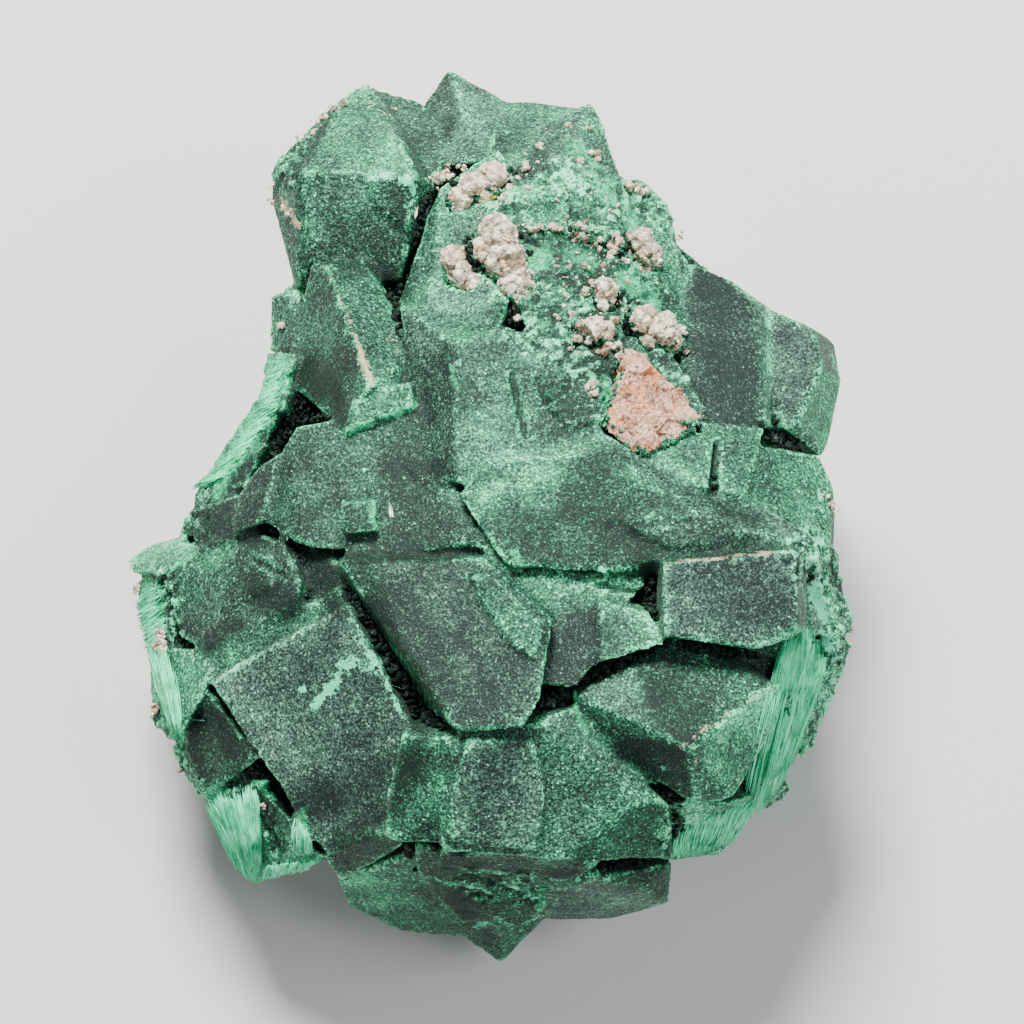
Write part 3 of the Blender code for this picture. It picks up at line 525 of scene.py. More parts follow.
def chunkFinish():
    # Pink-brown feldspar: fine mottling of cream, pink and brown, orange stains and grey veils.
    made = Finish("pinkChunk")
    broad = made.noise(2.2, 5.0)
    fine = made.noise(0.35, 4.0)
    fleck = made.channel(made.cells(0.2, "Color"), 0)
    mottle = ((broad - 0.5) * 1.3 + (fine - 0.5) * 1.9 + (fleck - 0.5) * 0.4 + 0.55).clip()
    colour = made.ramp(mottle, feldspar["mottles"])
    stain = (made.noise(2.4, 3.0) + (fine - 0.5) * 0.5 - 0.50).step(0.0, 0.16)
    colour = made.mix(stain * 0.7, colour, feldspar["stain"])
    grey = (made.noise(1.7, 4.0, rough=0.7) - 0.56).step(0.0, 0.12)
    colour = made.mix(grey * 0.55, colour, feldspar["veil"])
    normal = made.bump(fine, 0.9, 0.16, made.bump(made.cells(0.45), 0.6, 0.12))
    rough = 0.42 + (fine - 0.5) * 0.4
    return made.finish(Base_Color=colour, Roughness=rough, Normal=normal, Specular_IOR_Level=0.5)


# Where the skin is marked, as places in the view

# Across, down, tone from near black to light, and how green the face is.
# The given tones hold each face's colour together with the light or shade falling on it, so faces in shadow
# are painted darker.
faceTones = [
    (34, 13, 0.53, 0.9), (35.5, 21.5, 0.28, 0.4), (28.5, 19.5, 0.24, 0.4), (41.6, 13, 0.28, 0.5),
    (45, 12.5, 0.18, 0.3), (47.8, 13, 0.48, 0.5), (53.5, 13.5, 0.38, 0.8), (31.5, 33, 0.18, 0.7),
    (37.5, 31, 0.36, 0.7), (38, 41.4, 0.36, 0.9), (28.8, 31.5, 0.2, 0.4), (45, 23, 0.5, 0.9),
    (57, 17.5, 0.6, 1), (57, 29.5, 0.24, 0.9), (66, 29, 0.3, 0.9), (62, 42.4, 0.4, 0.9),
    (72.5, 35, 0.03, 0), (79.4, 37, 0.16, 0), (83, 40, 0.42, 1), (79, 50, 0.22, 0.5), (68, 46, 0.36, 0.8),
    (74, 46.4, 0.4, 0.8), (43.2, 40, 0.14, 0.1), (52, 41, 0.34, 0.6), (65, 51, 0.26, 0.6),
    (57, 58.6, 0.4, 0.8), (36, 47.5, 0.11, 0.5), (82, 55, 0.4, 0.8), (37, 54.4, 0.17, 0.5),
    (25.2, 50, 0.12, 0.2), (21.5, 52.2, 0.08, 0.2), (15.6, 55.4, 0.52, 0.9), (22, 57.5, 0.13, 0.4),
    (27, 60, 0.15, 0.2), (31.5, 57.8, 0.04, 0.1), (17.8, 67.5, 0.48, 0.9), (22, 74, 0.1, 0.5),
    (29.5, 64, 0.16, 0.4), (31, 72, 0.34, 0), (28.6, 87, 0.44, 1), (45, 64, 0.14, 0.2),
    (37.4, 61, 0.1, 0.5), (56.5, 65, 0.13, 0), (62.8, 63.4, 0.38, 0.7), (73, 60, 0.18, 0),
    (66.5, 71, 0.08, 0.7), (60.5, 73, 0.22, 0.8), (73.5, 74.5, 0.58, 0.8), (70.5, 83.5, 0.4, 1),
    (41.5, 79, 0.3, 0.8), (51, 80, 0.38, 0.1), (62, 81, 0.28, 0.5), (50, 86.4, 0.22, 0.4),
    (50, 88.6, 0.32, 0.5), (61.5, 89.5, 0.36, 0), (50, 93.5, 0.32, 0.6), (39.5, 90.8, 0.38, 0.7),
    (36.4, 85.6, 0.14, 0.5), (78, 67, 0.14, 0.8), (35.9, 51.7, 0.14, 0.8),
]

# Strokes by kind: how wide, and the line they follow across and down.
strokes = {
    "druse": [
        (3.2, [(80.6, 55.6), (84.6, 60), (85.2, 64)]), (2.4, [(84.6, 64), (82.6, 69), (81, 73)]),
        (2.2, [(19, 48.8), (19.6, 52.6)]), (1.5, [(16.4, 58), (17.2, 63.6)]),
        (1.4, [(15.4, 70.6), (16.8, 75.6)]), (1.6, [(17.4, 75.8), (19.8, 79.6)]),
        (3.2, [(56, 18), (60.6, 23), (61, 30)], 0.8), (3, [(52.4, 33.4), (58, 36)]),
        (1.6, [(58.6, 34), (60.4, 41)]), (2.4, [(67.6, 83.4), (73.6, 83.6)]),
        (1.3, [(76.4, 79.4), (78.8, 79)]), (1, [(26.6, 81.4), (27.8, 85)]),
        (1.5, [(29.8, 13.4), (28.2, 18)]), (2.2, [(47, 88.4), (53, 88.8)]), (1.6, [(63, 19), (66.6, 22)]),
        (3.4, [(50.6, 22), (55, 27), (57, 34)]), (2.4, [(62, 26), (65, 30), (67.4, 37)]),
    ],
    "turquoise": [
        (1.6, [(36.2, 63.9), (37.4, 66.6)]), (1.3, [(36.6, 66.4), (34.4, 66.3), (33.2, 68.6)]),
        (0.9, [(33.4, 68.5), (31.5, 70.5)]), (0.8, [(30.3, 68.9)]), (0.6, [(38.6, 68), (40, 71.2)]),
        (0.5, [(23.3, 66.9), (25.2, 66.2)], 0.7), (1.5, [(81.2, 58.9), (82.3, 61.6)]),
        (0.9, [(82.3, 63.4), (83.2, 65)], 0.9), (0.9, [(81.6, 68), (81.9, 70)], 0.8),
        (0.9, [(59.2, 55.6), (60.6, 57.6)], 0.75), (1.1, [(38.4, 17.4), (41.2, 18.2)], 0.9),
        (0.7, [(41.4, 18.6), (41, 20.4)], 0.7), (0.5, [(32.2, 33.4)]), (0.5, [(36.5, 47)], 0.8),
        (0.4, [(36.5, 49)], 0.8), (0.6, [(57.8, 87.8)]), (0.5, [(27.8, 30)]),
        (0.6, [(76.4, 83.6), (74, 85)], 0.7), (0.8, [(47.6, 92.6), (50, 91.9)], 0.7),
        (0.6, [(80, 52.4), (82.6, 54.5)], 0.6), (0.6, [(82, 49), (82.6, 52)], 0.7),
        (0.4, [(42.3, 23), (42, 26)], 0.5), (0.6, [(48.9, 36), (50.6, 38)], 0.5),
        (0.5, [(45.6, 35), (46, 36.6)], 0.7), (0.9, [(69.4, 78), (72, 76)], 0.45),
        (0.8, [(64.2, 75.2), (66.6, 77)], 0.5), (0.8, [(40, 87.6), (43.6, 88)], 0.5),
        (0.5, [(55.4, 57), (58, 59)], 0.5), (0.5, [(50, 71), (51.6, 72)], 0.4),
        (0.6, [(17.4, 56.6), (19, 56)], 0.5),
    ],
    # Pale strokes: partly the skin's paler colour, partly painted light on lit faces and bright rims.
    "pale": [
        (4.6, [(47.4, 49.4), (52, 48.4), (55, 47.8)], 2), (2.2, [(50, 50.6), (55, 50.2)], 0.9),
        (2.2, [(81, 56.4), (84.4, 61)], 1.2), (2, [(74, 66.4), (72, 73.6)], 0.5),
        (3, [(56.4, 11.6), (58, 15), (58.6, 18.4)], 0.9),
        (2.4, [(54.2, 13.6), (55.4, 15.6), (56.6, 17.6)], 1.5), (1.6, [(44.6, 18.6), (46, 26)], 0.5),
        (1.2, [(60, 43.3), (69, 47.8), (76, 50.8), (82.3, 56.6)], 0.8),
        (1.2, [(33.8, 56.6), (36, 56.6), (41, 56.6)], 0.8),
        (0.8, [(33.9, 57), (35.2, 60.4), (37, 63.6)], 0.6), (0.9, [(68.1, 26.3), (68.9, 31.4)], 1.3),
        (0.9, [(76.9, 31), (77.2, 42.5)], 1.8), (0.7, [(73.5, 28.4), (76.4, 31)], 0.8),
        (0.9, [(57, 69.4), (62, 72.2), (68.4, 75.2)], 0.8), (0.9, [(68.6, 75), (70, 80.4)], 0.8),
        (0.6, [(57.4, 71), (62.6, 76.2), (69, 80.6)], 0.6),
        (1.2, [(45.6, 74.4), (50, 73.6), (56, 71.6)], 0.7),
        (0.8, [(54.5, 88.4), (60, 89.4), (66.2, 90.3)], 0.7), (1, [(40.4, 74.4), (45, 74.6)], 0.7),
        (0.8, [(40, 74), (39, 79), (38.9, 83)], 0.5), (0.7, [(30.4, 17.6), (36, 17.4), (41.4, 17.4)], 0.5),
        (0.8, [(30.6, 18), (30.9, 25)], 0.5), (1.2, [(36.2, 9), (33, 11.4), (29, 15.6)], 0.7),
        (2, [(33.4, 13.6), (36.8, 12.4)], 0.5), (1.6, [(47.4, 11), (48.4, 14.4)], 0.5),
        (1.1, [(40.6, 30.4), (42.6, 25.4), (45.6, 20.6), (52, 15.6), (58.8, 10.8)], 0.8),
        (2.4, [(57, 14), (60.6, 20), (61.6, 24)], 0.55),
        (0.8, [(34.4, 43.2), (37.5, 42.2), (41.5, 40.4)], 0.6),
        (0.7, [(26.6, 52.4), (29.4, 54.2), (33.6, 55.4)], 0.6),
        (1.2, [(13.4, 56), (17.4, 54), (20, 54.8)], 0.8),
        (0.9, [(46.6, 50.4), (51, 56), (55.6, 61.6)], 0.6),
        (1.3, [(51.6, 57), (56, 58.6), (63, 57.6)], 0.7),
        (0.7, [(59.6, 45.8), (68, 50), (80.2, 55.2)], 0.8), (0.8, [(34.4, 88.4), (39.6, 88.4)], 0.9),
        (0.8, [(36.6, 90.6), (41, 90)], 0.8), (1.4, [(60.5, 61), (64.6, 61.8), (66.2, 64.2)], 0.7),
        (1, [(50, 31.8), (56, 33)], 0.5), (0.8, [(48.8, 46), (52, 46.4)], 0.6),
        (1.6, [(50.6, 43.6), (55, 43)], 0.4), (1, [(20, 57), (24, 54.6)], 0.4),
        (1.2, [(48, 42), (49, 44.6)], 0.4), (1.4, [(80.6, 51.8), (82.8, 56.8)], 0.7),
    ],
    "shade": [
        (2.4, [(35.5, 21.6), (38.5, 24)], 0.35), (2.6, [(39.6, 46.4), (47, 47.4)], 0.4),
        (2.2, [(19.4, 50.4), (22.6, 52.4)], 0.7), (2.6, [(56, 25), (61, 29), (60, 36)], 0.55),
        (3.4, [(52.4, 24), (57, 23.6), (61, 24.6)], 0.5), (2.6, [(51, 21), (55, 21), (59.6, 21.6)], 0.5),
        (2.4, [(50, 31), (55.6, 31)], 0.35), (2.2, [(31.6, 57), (34, 60.4)]),
        (3, [(41, 76), (38.4, 80.6), (34.4, 84)], 0.8),
        (3.8, [(38.6, 77.6), (34.4, 80), (30.6, 80.6)], 0.75),
        (2.2, [(38.4, 58.8), (42, 62.4), (45.4, 69)], 0.5), (2, [(33.6, 20), (35, 26)], 0.3),
        (2.2, [(45.4, 35.6), (46.4, 41)], 0.4), (2.4, [(25.6, 59), (29, 60.6)], 0.8),
        (1.6, [(20.8, 64.6), (23.5, 62.5)], 0.8), (1, [(29, 55), (36, 56), (46, 55.4)], 0.5),
        (2.8, [(37.4, 61), (39.6, 65), (42.6, 71)]), (1.8, [(73, 65.6), (77, 66.8)], 0.9),
        (1.4, [(33, 38.4), (34.4, 42)], 0.9), (1.5, [(37.8, 61), (40.2, 65), (42.4, 70.6)]),
        (1.9, [(31, 56.4), (33.6, 58.6)]), (2.4, [(57.6, 51.4), (66, 54.4)], 0.45),
        (1.6, [(72, 65.4), (76.6, 67.4)], 0.8), (2.4, [(31.4, 36), (32.4, 39.4)], 0.5),
        (1.6, [(49, 75.6), (48, 82)], 0.35), (1.8, [(55.2, 67.6), (57.2, 64)], 0.3),
        (1.2, [(44, 86), (50, 87.4), (58, 87.4)], 0.5), (1.6, [(45.6, 89.6), (47.4, 91.4)]),
        (1.2, [(19.4, 53.4), (23, 52.6)], 0.8), (1.6, [(46, 64), (49, 69)], 0.4),
        (1.6, [(39, 27.6), (40.4, 29.6)]), (1, [(63, 25)], 0.9), (0.9, [(64.6, 29.6)], 0.9),
        (1.4, [(53.5, 27.5), (57.5, 28)], 0.4), (2, [(63.6, 53.4), (65, 57.6)], 0.5),
        (1.4, [(22, 71), (23, 75)], 0.8), (1.2, [(26.8, 80.8), (28, 84.6)], 0.9),
    ],
    "crack": [
        (0.45, [(51.2, 37.4), (51.7, 40), (52.6, 43.6)], 0.9), (0.42, [(53.7, 37.7), (54.6, 40.3)], 0.9),
        (0.42, [(54.6, 40.3), (56.8, 38.7)], 0.6), (0.45, [(71.7, 44.4), (71.4, 48.8)], 0.9),
        (0.45, [(59.8, 58.4), (64.2, 59.3)], 0.9), (0.42, [(40.2, 47), (43.4, 49.6)], 0.3),
        (0.4, [(25.4, 56), (28.6, 57.6)], 0.5), (0.5, [(62, 18.6), (62.6, 24)], 0.5),
        (0.42, [(46.4, 87.6), (52, 89.4), (57, 89)], 0.5), (0.4, [(61, 52.6), (69, 52)], 0.35),
    ],
    "tan": [
        (0.42, [(66.4, 56.3), (72, 55.7), (79.4, 55)], 0.95), (0.4, [(79.5, 55.4), (80.1, 58.4)], 0.7),
        (0.36, [(20.9, 68.2), (34.7, 60.6)], 0.6), (0.36, [(20.9, 68.3), (26, 75.9), (32.4, 85.6)], 0.6),
        (0.5, [(68.5, 74.3), (72.5, 71.5), (78, 68.6)], 0.8), (0.8, [(68, 74.8), (69.6, 74)], 0.8),
        (0.4, [(32.3, 26.6), (34.6, 31.2)], 0.75), (0.55, [(34.6, 31.2), (37.2, 38.5)]),
        (0.9, [(36, 35.6), (37, 38)], 0.8), (0.8, [(28.2, 20.2), (29.8, 22.6)]),
        (0.5, [(38, 17.4), (41, 17.6)], 0.7), (1, [(46.6, 19.4), (49.8, 17.2)], 0.7),
        (0.5, [(16.6, 53.9), (18, 53.8)], 0.8), (0.6, [(15.6, 70.9)]),
        (0.5, [(58.4, 59.4), (61, 58.6)], 0.4), (0.4, [(69.9, 75), (69.3, 77.6)], 0.6),
        (0.5, [(83.5, 49.4)]), (0.5, [(82.8, 51)]), (0.9, [(48.2, 20.8), (49.6, 20.4)], 0.8),
        (0.9, [(38, 31.4), (39.6, 35)], 0.5), (1, [(54, 22), (57, 21.4)], 0.4),
        (0.5, [(50.4, 22), (52.4, 22.6)], 0.6),
    ],
    "emerald": [
        (2.6, [(28.4, 36.4), (26.4, 41), (23.2, 45.6), (20, 48.6)]), (1.6, [(24.6, 44), (21.6, 49.4)], 0.8),
        (1.6, [(14.4, 58.2), (14.8, 63.4)]), (1.5, [(15.4, 65), (16.2, 69.4), (18, 74)]),
        (2.6, [(21.4, 80), (24.4, 83), (25.4, 87.4)]), (1.3, [(30.2, 81.4), (30.4, 84.8)], 0.9),
        (1, [(26, 78), (27.2, 79.6)], 0.9), (3, [(80.6, 64.6), (80, 71), (77.4, 77), (74.4, 80.8)]),
        (1.8, [(78.6, 66.4), (77.6, 74)]), (2.4, [(75, 82.4), (69, 85.4)], 0.75),
        (0.7, [(34.6, 43.2), (37.5, 42.2), (41.6, 40.4)], 0.9), (0.7, [(36.8, 50.8), (37.6, 52.6)], 0.6),
        (2.4, [(52.6, 25.8), (56, 25), (59, 26.4)], 0.8), (1.8, [(62, 27.4), (63.8, 28.6)], 0.8),
        (2.4, [(57, 14.6), (60, 17.4), (61.4, 21)], 0.55), (2, [(62.4, 20), (64.6, 26), (65, 32)], 0.7),
        (1.3, [(83.4, 35), (84, 39.6), (82.4, 44.4)], 0.6), (0.4, [(48.9, 15.6), (50.2, 10.4)], 0.6),
        (0.5, [(30.2, 17.6), (35.6, 17.2)], 0.5), (1, [(27, 87.4), (32, 86.2)], 0.9),
        (0.8, [(17.2, 56.8), (19.4, 55.4)], 0.6), (0.7, [(57.2, 69.8), (58.6, 73.2), (64.6, 77.6)], 0.5),
        (0.5, [(44.6, 74.6), (44, 80), (44.4, 84.6)], 0.35), (0.5, [(44.6, 35.4), (45.8, 38.8)], 0.6),
        (1.2, [(60.6, 37.4), (60.8, 42)], 0.5), (1.4, [(52, 30.4), (54.6, 32.6)], 0.5),
        (0.9, [(50.4, 53.4), (53.4, 58.4)], 0.45), (1, [(31, 87.4), (38, 88)], 0.4),
        (0.8, [(55, 44.2), (59.4, 43.2)], 0.4),
    ],
}
print("finishes and places ready")


# The skin of the crystals
skin = {
    "cell": 0.36,        # mm between its points
    "softness": 0.5,     # how far sharp edges are rounded
    "waves": 0.11,       # mm of slow unevenness on the faces
    "relief": 0.035,     # mm of fine unevenness
    "chips": 0.20,       # mm worn off the edges in places
    "terraces": 0.30,    # mm between the levels of broken growth layers
    "druse": 0.20,       # mm that small crusted crystals stand up
    "cracks": 0.45,      # mm that the cracks are cut in
    "unseen": 1.1,       # mm behind the nearest surface where the photo shows nothing
    "most": 190000,      # triangles in one of its pieces
    "seed": 40,
}


def solidFaces(node):
    # The node's flat faces: their normals, middles and sizes.
    bm = bmesh.new()
    bm.from_mesh(frame["nodes"][node].data)
    bmesh.ops.remove_doubles(bm, verts=bm.verts, dist=1e-6)
    bmesh.ops.dissolve_limit(bm, angle_limit=math.radians(1.0), verts=bm.verts, edges=bm.edges)
    normals = np.array([face.normal[:] for face in bm.faces])
    middles = np.array([face.calc_center_median()[:] for face in bm.faces]) / mm
    sizes = np.sqrt([face.calc_area() for face in bm.faces]) / mm
    bm.free()
    return normals, middles, sizes


def faceOf(points, normals, flat):
    # The face that a point belongs to: near its plane, turned like it, and close to its middle for its size.
    faceNormals, middles, sizes = (np.asarray(part, np.float32) for part in flat)
    chosen = []
    for part in np.array_split(np.arange(len(points)), 60):
        own, turned = points[part].astype(np.float32), normals[part].astype(np.float32)
        height = np.abs(own @ faceNormals.T - (middles * faceNormals).sum(axis=1))
        away = (own ** 2).sum(axis=1)[:, None] - 2 * own @ middles.T + (middles ** 2).sum(axis=1)
        away = np.sqrt(np.maximum(away, 0)) / sizes
        unlike = (1 - turned @ faceNormals.T) * 8
        chosen.append(np.argmin(height * 4 + unlike + np.maximum(away - 0.4, 0), axis=1))
    return np.concatenate(chosen)


def facetValues(labels, across, down, visible, near):
    # Each face has a tone of its own: a seeded one, or the one given for the place it shows at.
    chance = np.random.default_rng(skin["seed"])
    tones = chance.uniform(0.10, 0.46, labels.max() + 1)
    greens = chance.uniform(0.3, 0.9, labels.max() + 1)
    shown = np.flatnonzero(visible)
    for placeAcross, placeDown, tone, green in faceTones:
        nearest = shown[np.argmin((across[shown] - placeAcross) ** 2 + (down[shown] - placeDown) ** 2)]
        tones[labels[nearest]], greens[labels[nearest]] = tone, green
    return near.average(tones[labels], 2), near.average(greens[labels], 4)


def crystalSkin():
    # The even skin, softened, then moved along its normals by waves, layers, chips and small crystals.
    points, faces = remeshed("malachite_cluster", skin["cell"])
    near = Neighbours(faces, len(points))
    normals = normalsOf(points, faces)
    labels = faceOf(points, normals, solidFaces("malachite_cluster"))
    across, down, depth = shownAt(points)
    sight = DepthMap(points)
    visible = depth > sight.at(across, down) - skin["unseen"]
    tone, green = facetValues(labels, across, down, visible, near)

    smooth = near.average(points, 3)
    wide = near.average(smooth, 30)
    wider = near.average(wide, 110)
    fine = np.einsum("ij,ij->i", points - smooth, normals)
    broad = np.einsum("ij,ij->i", points - wide, normals)
    broader = np.einsum("ij,ij->i", points - wider, normals)
    rim = np.clip(fine / 0.13, 0, 1)
    # Painted highlight on broadly convex parts: their tone is raised and made greener.
    convexHighlight = np.clip(broad / 0.50, 0, 1)
    # Painted shade in hollows: darker the further a place lies below the surface around it.
    gully = smoothStep(-broad, 0.08, 0.50) * 0.75 + smoothStep(-broader, 0.35, 1.5) * 0.6

    worn = 0.72 + 0.75 * layered(points, 1.5, 66, 3)
    masks = {kind: strokeMask(across, down, lines) * visible for kind, lines in strokes.items()}
    for kind in ("turquoise", "tan", "emerald", "pale"):
        masks[kind] = np.clip(masks[kind] * worn, 0, 2 if kind == "pale" else 1)
    hidden = 1 - smoothStep(near.average(visible.astype(float), 6), 0.1, 0.5)
    patchy = layered(points, 9.0, 71, 3)
    masks["druse"] = np.maximum(masks["druse"], hidden * smoothStep(patchy, 0.10, 0.35))
    broken = hidden * smoothStep(layered(points, 8.0, 81, 3), 0.24, 0.5)
    masks["emerald"] = np.maximum(masks["emerald"], broken)
    bruised = hidden * 0.45 * smoothStep(layered(points, 5.0, 91, 3), 0.40, 0.8)
    masks["turquoise"] = np.maximum(masks["turquoise"], bruised)

    onCut = smoothStep(points[:, 2], 0.1, 0.9)
    points = points + (smooth - points) * skin["softness"] * onCut[:, None]
    move = skin["waves"] * layered(points, 5.5, 11, 3) + skin["relief"] * noise(points, 0.75, 21)
    move -= skin["chips"] * np.clip(fine / 0.13, 0, 1.3) * smoothStep(noise(points, 1.3, 51), 0.0, 0.6)
    level = layered(points, 5.0, 35, 4) * 4.5
    layers = (np.floor(level) + smoothStep(level - np.floor(level), 0.80, 1.0)) / 4.5
    torn = smoothStep(noise(points, 8.0, 45), -0.35, 0.25)
    move += skin["terraces"] * layers * torn
    facet, number = brokenFacets(points, 0.95, 61)
    druse = smoothStep(masks["druse"], 0.0, 0.35)
    move += skin["druse"] * druse * facet * 1.6
    move -= skin["cracks"] * np.clip(masks["crack"] * 1.6, 0, 1)
    points = points + normals * (move * onCut)[:, None]
    points[:, 2] = np.maximum(points[:, 2], 0)
    # Raised lips also count as rims for the painted rim highlight.
    lip = np.einsum("ij,ij->i", points - near.average(points, 3), normals)
    rim = np.clip(np.maximum(rim, lip / 0.07), 0, 1)

    mottle = layered(points, 2.6, 101, 3)
    # Pale strokes raise the tone, partly as paler colour and partly as painted light; shade strokes lower it
    # as painted shade.
    paleAndLit = masks["pale"] * (0.75 + 0.6 * mottle)
    shade = smoothStep(masks["shade"], 0.0, 0.7)
    tone = tone + 0.12 * convexHighlight * (1 + mottle) + 0.38 * np.clip(paleAndLit, 0, 1.6)
    tone += druse * (number - 0.45) * 0.62 - 0.25 * shade
    # The shade strokes and the cracks add more painted shade.
    gully = np.clip(gully + 0.55 * shade + 1.2 * masks["crack"], 0, 1)
    marks = {
        "tone": np.clip(tone, 0, 1), "green": np.clip(near.average(green, 3) + convexHighlight * 0.2, 0, 1),
        # edge: the painted rim highlight, weaker in painted shade
        "gully": gully, "edge": rim * (1 - 0.8 * gully),
        "emerald": np.clip(masks["emerald"] * 1.3, 0, 1) * (1 - 0.4 * gully),
        "turquoise": masks["turquoise"], "tan": masks["tan"],
    }
    return points, faces, marks


def splitSkin(points, faces, marks, parts):
    # The skin is cut across into parts, each closed inside the stone by a fan from the middle of every cut.
    normals = normalsOf(points, faces)
    middle = points[faces].mean(axis=1)
    order = np.argsort(middle[:, 1], kind="stable")
    cuts = [middle[group[-1], 1] for group in np.array_split(order, parts)]
    for chosen in np.array_split(order, parts):
        used, renamed = np.unique(faces[chosen], return_inverse=True)
        renamed = renamed.reshape(-1, 4)
        outer = np.concatenate([renamed[:, :3], renamed[:, [0, 2, 3]]])
        edges = np.concatenate([outer[:, [0, 1]], outer[:, [1, 2]], outer[:, [2, 0]]])
        both, times = np.unique(np.sort(edges, axis=1), axis=0, return_counts=True)
        key = np.array([len(used), 1])
        loose = edges[np.isin(np.sort(edges, axis=1) @ key, both[times == 1] @ key)]
        own = points[used]
        nearCut = np.argmin(np.abs(own[loose].mean(axis=1)[:, 1][:, None] - np.array(cuts[:-1])), axis=1)
        hubs, fans = [], []
        for cut in np.unique(nearCut):
            ring = loose[nearCut == cut]
            hubs.append(own[ring[:, 0]].mean(axis=0))
            fans.append(np.column_stack([ring[:, ::-1], np.full(len(ring), len(own) + len(hubs) - 1)]))
        part = {key: np.append(values[used], np.zeros(len(hubs))) for key, values in marks.items()}
        turned = np.concatenate([normals[used], np.tile([0.0, 1.0, 0.0], (len(hubs), 1))])
        yield np.vstack([own, *hubs]), np.concatenate([outer, *fans]), part, turned


skinPoints, skinFaces, skinMarks = crystalSkin()
velvetMaterial = velvetFinish()
skinParts = math.ceil(len(skinFaces) * 2 / skin["most"])
for index, part in enumerate(splitSkin(skinPoints, skinFaces, skinMarks, skinParts)):
    points, faces, marks, turned = part
    mesh = meshOf(f"crystalSkin{index}", points, faces, True, marks, turned)
    addPiece(f"crystalSkin{index}", mesh, velvetMaterial, "malachite", "malachite_cluster")
skinSight = DepthMap(skinPoints)
print("crystal skin:", len(skinFaces) * 2, "triangles in", skinParts, "pieces")


# Fibrous broken rims: each zone's fibres run from one line in the view to another.
fibres = {
    "sides": 3,
    "rings": 6,
    "radius": 0.09,
    "zones": {
        "rightRimFibres": [
            ([(78.3, 64.2), (80.6, 62.8), (82.8, 66)], [(74.2, 81.2), (76, 81.4), (78.4, 77.8)], 1000),
            ([(80.4, 62.4), (82, 64.4)], [(79.4, 74.4), (81.4, 70.6)], 320),
            ([(75.8, 79.8), (67.8, 82.6)], [(73.2, 84.4), (67.4, 85.9)], 400),
        ],
        "leftStripFibres": [
            ([(16.2, 58.4), (16.8, 63.2)], [(13.5, 60.2), (14.5, 64.8)], 280),
            ([(14.6, 64.4), (16.6, 65.2)], [(17, 72.6), (18.5, 74.4)], 280),
            ([(15.2, 66.4), (17.4, 67.2)], [(16.6, 70.6), (18.2, 73.8)], 150),
        ],
        "leftRimFibres": [
            ([(28.4, 36.2), (27.8, 40.6), (25, 44.6)], [(26.6, 37.6), (25.2, 42), (22, 46.2)], 380),
            ([(25, 44.4), (22.8, 47.4)], [(21.8, 46.6), (19.2, 48.8)], 240),
        ],
        "tailFibres": [
            ([(20.4, 80.4), (22.6, 78.8), (25.8, 78.4)], [(23.9, 87.2), (25.2, 88.2), (26, 86.8)], 620),
            ([(26.6, 86.6), (31.6, 85.8)], [(26.2, 88), (30.6, 87)], 180),
            ([(29.6, 81.6), (30.8, 83.4)], [(29.4, 85.2), (31, 85.4)], 120),
        ],
    },
}


def alongLine(line, part):
    # The place at each part, from 0 to 1, of the way along a line of places.
    line = np.array(line, float)
    reach = np.concatenate([[0], np.cumsum(np.hypot(*np.diff(line, axis=0).T))])
    return np.stack([np.interp(part * reach[-1], reach, line[:, k]) for k in (0, 1)], axis=1)


def fibreBundle(nearLine, farLine, count, seed, fullness=1.0):
    # Tapered prisms: a ring of corners carried along each fibre's path, with the radius a flat-topped arch.
    chance = np.random.default_rng(seed)
    part = (np.arange(count) + chance.uniform(0, 1, count)) / count
    start = alongLine(nearLine, part) + chance.normal(0, 0.12, (count, 2))
    strayed = np.clip(part + chance.normal(0, 0.05, count), 0, 1)
    end = alongLine(farLine, strayed) + chance.normal(0, 0.12, (count, 2))
    first = chance.uniform(0, 0.55, count) ** 1.5
    last = 1 - chance.uniform(0, 0.5, count) ** 1.7
    travel = np.linspace(0, 1, fibres["rings"])
    along = first[:, None] + (last - first)[:, None] * travel
    path = start[:, None] + (end - start)[:, None] * along[..., None]
    path += chance.normal(0, 0.15, (count, 1, 2)) * np.sin(along * np.pi)[..., None]
    depth = skinSight.at(path[..., 0], path[..., 1])
    for _ in range(3):
        padded = np.pad(depth, ((0, 0), (1, 1)), mode="edge")
        depth = (padded[:, :-2] + 2 * depth + padded[:, 2:]) / 4
    centre = fromView(path[..., 0], path[..., 1], depth + chance.uniform(-0.10, 0.30, count)[:, None])
    forward = np.gradient(centre, axis=1)
    forward /= np.linalg.norm(forward, axis=2, keepdims=True)
    side = np.cross(forward, towardsEye)
    side /= np.linalg.norm(side, axis=2, keepdims=True)
    lift = np.cross(side, forward)
    radius = fibres["radius"] * chance.uniform(0.6, 1.35, count)[:, None] * fullness
    radius = radius * (1 - np.abs(travel * 2 - 1) ** 5 * 0.85)[None]
    angle = np.arange(fibres["sides"]) * math.tau / fibres["sides"]
    angle = angle + chance.uniform(0, 6, count)[:, None, None]
    ring = np.cos(angle)[..., None] * side[:, :, None] + 0.8 * np.sin(angle)[..., None] * lift[:, :, None]
    points = (centre[:, :, None] + ring * radius[..., None, None]).reshape(-1, 3)
    own = np.repeat(chance.uniform(0, 1, count), fibres["rings"] * fibres["sides"])
    ends = np.tile(np.repeat(np.abs(travel * 2 - 1) ** 2, fibres["sides"]), count)
    return points, tubeFaces(count, fibres["rings"], fibres["sides"]), own, ends


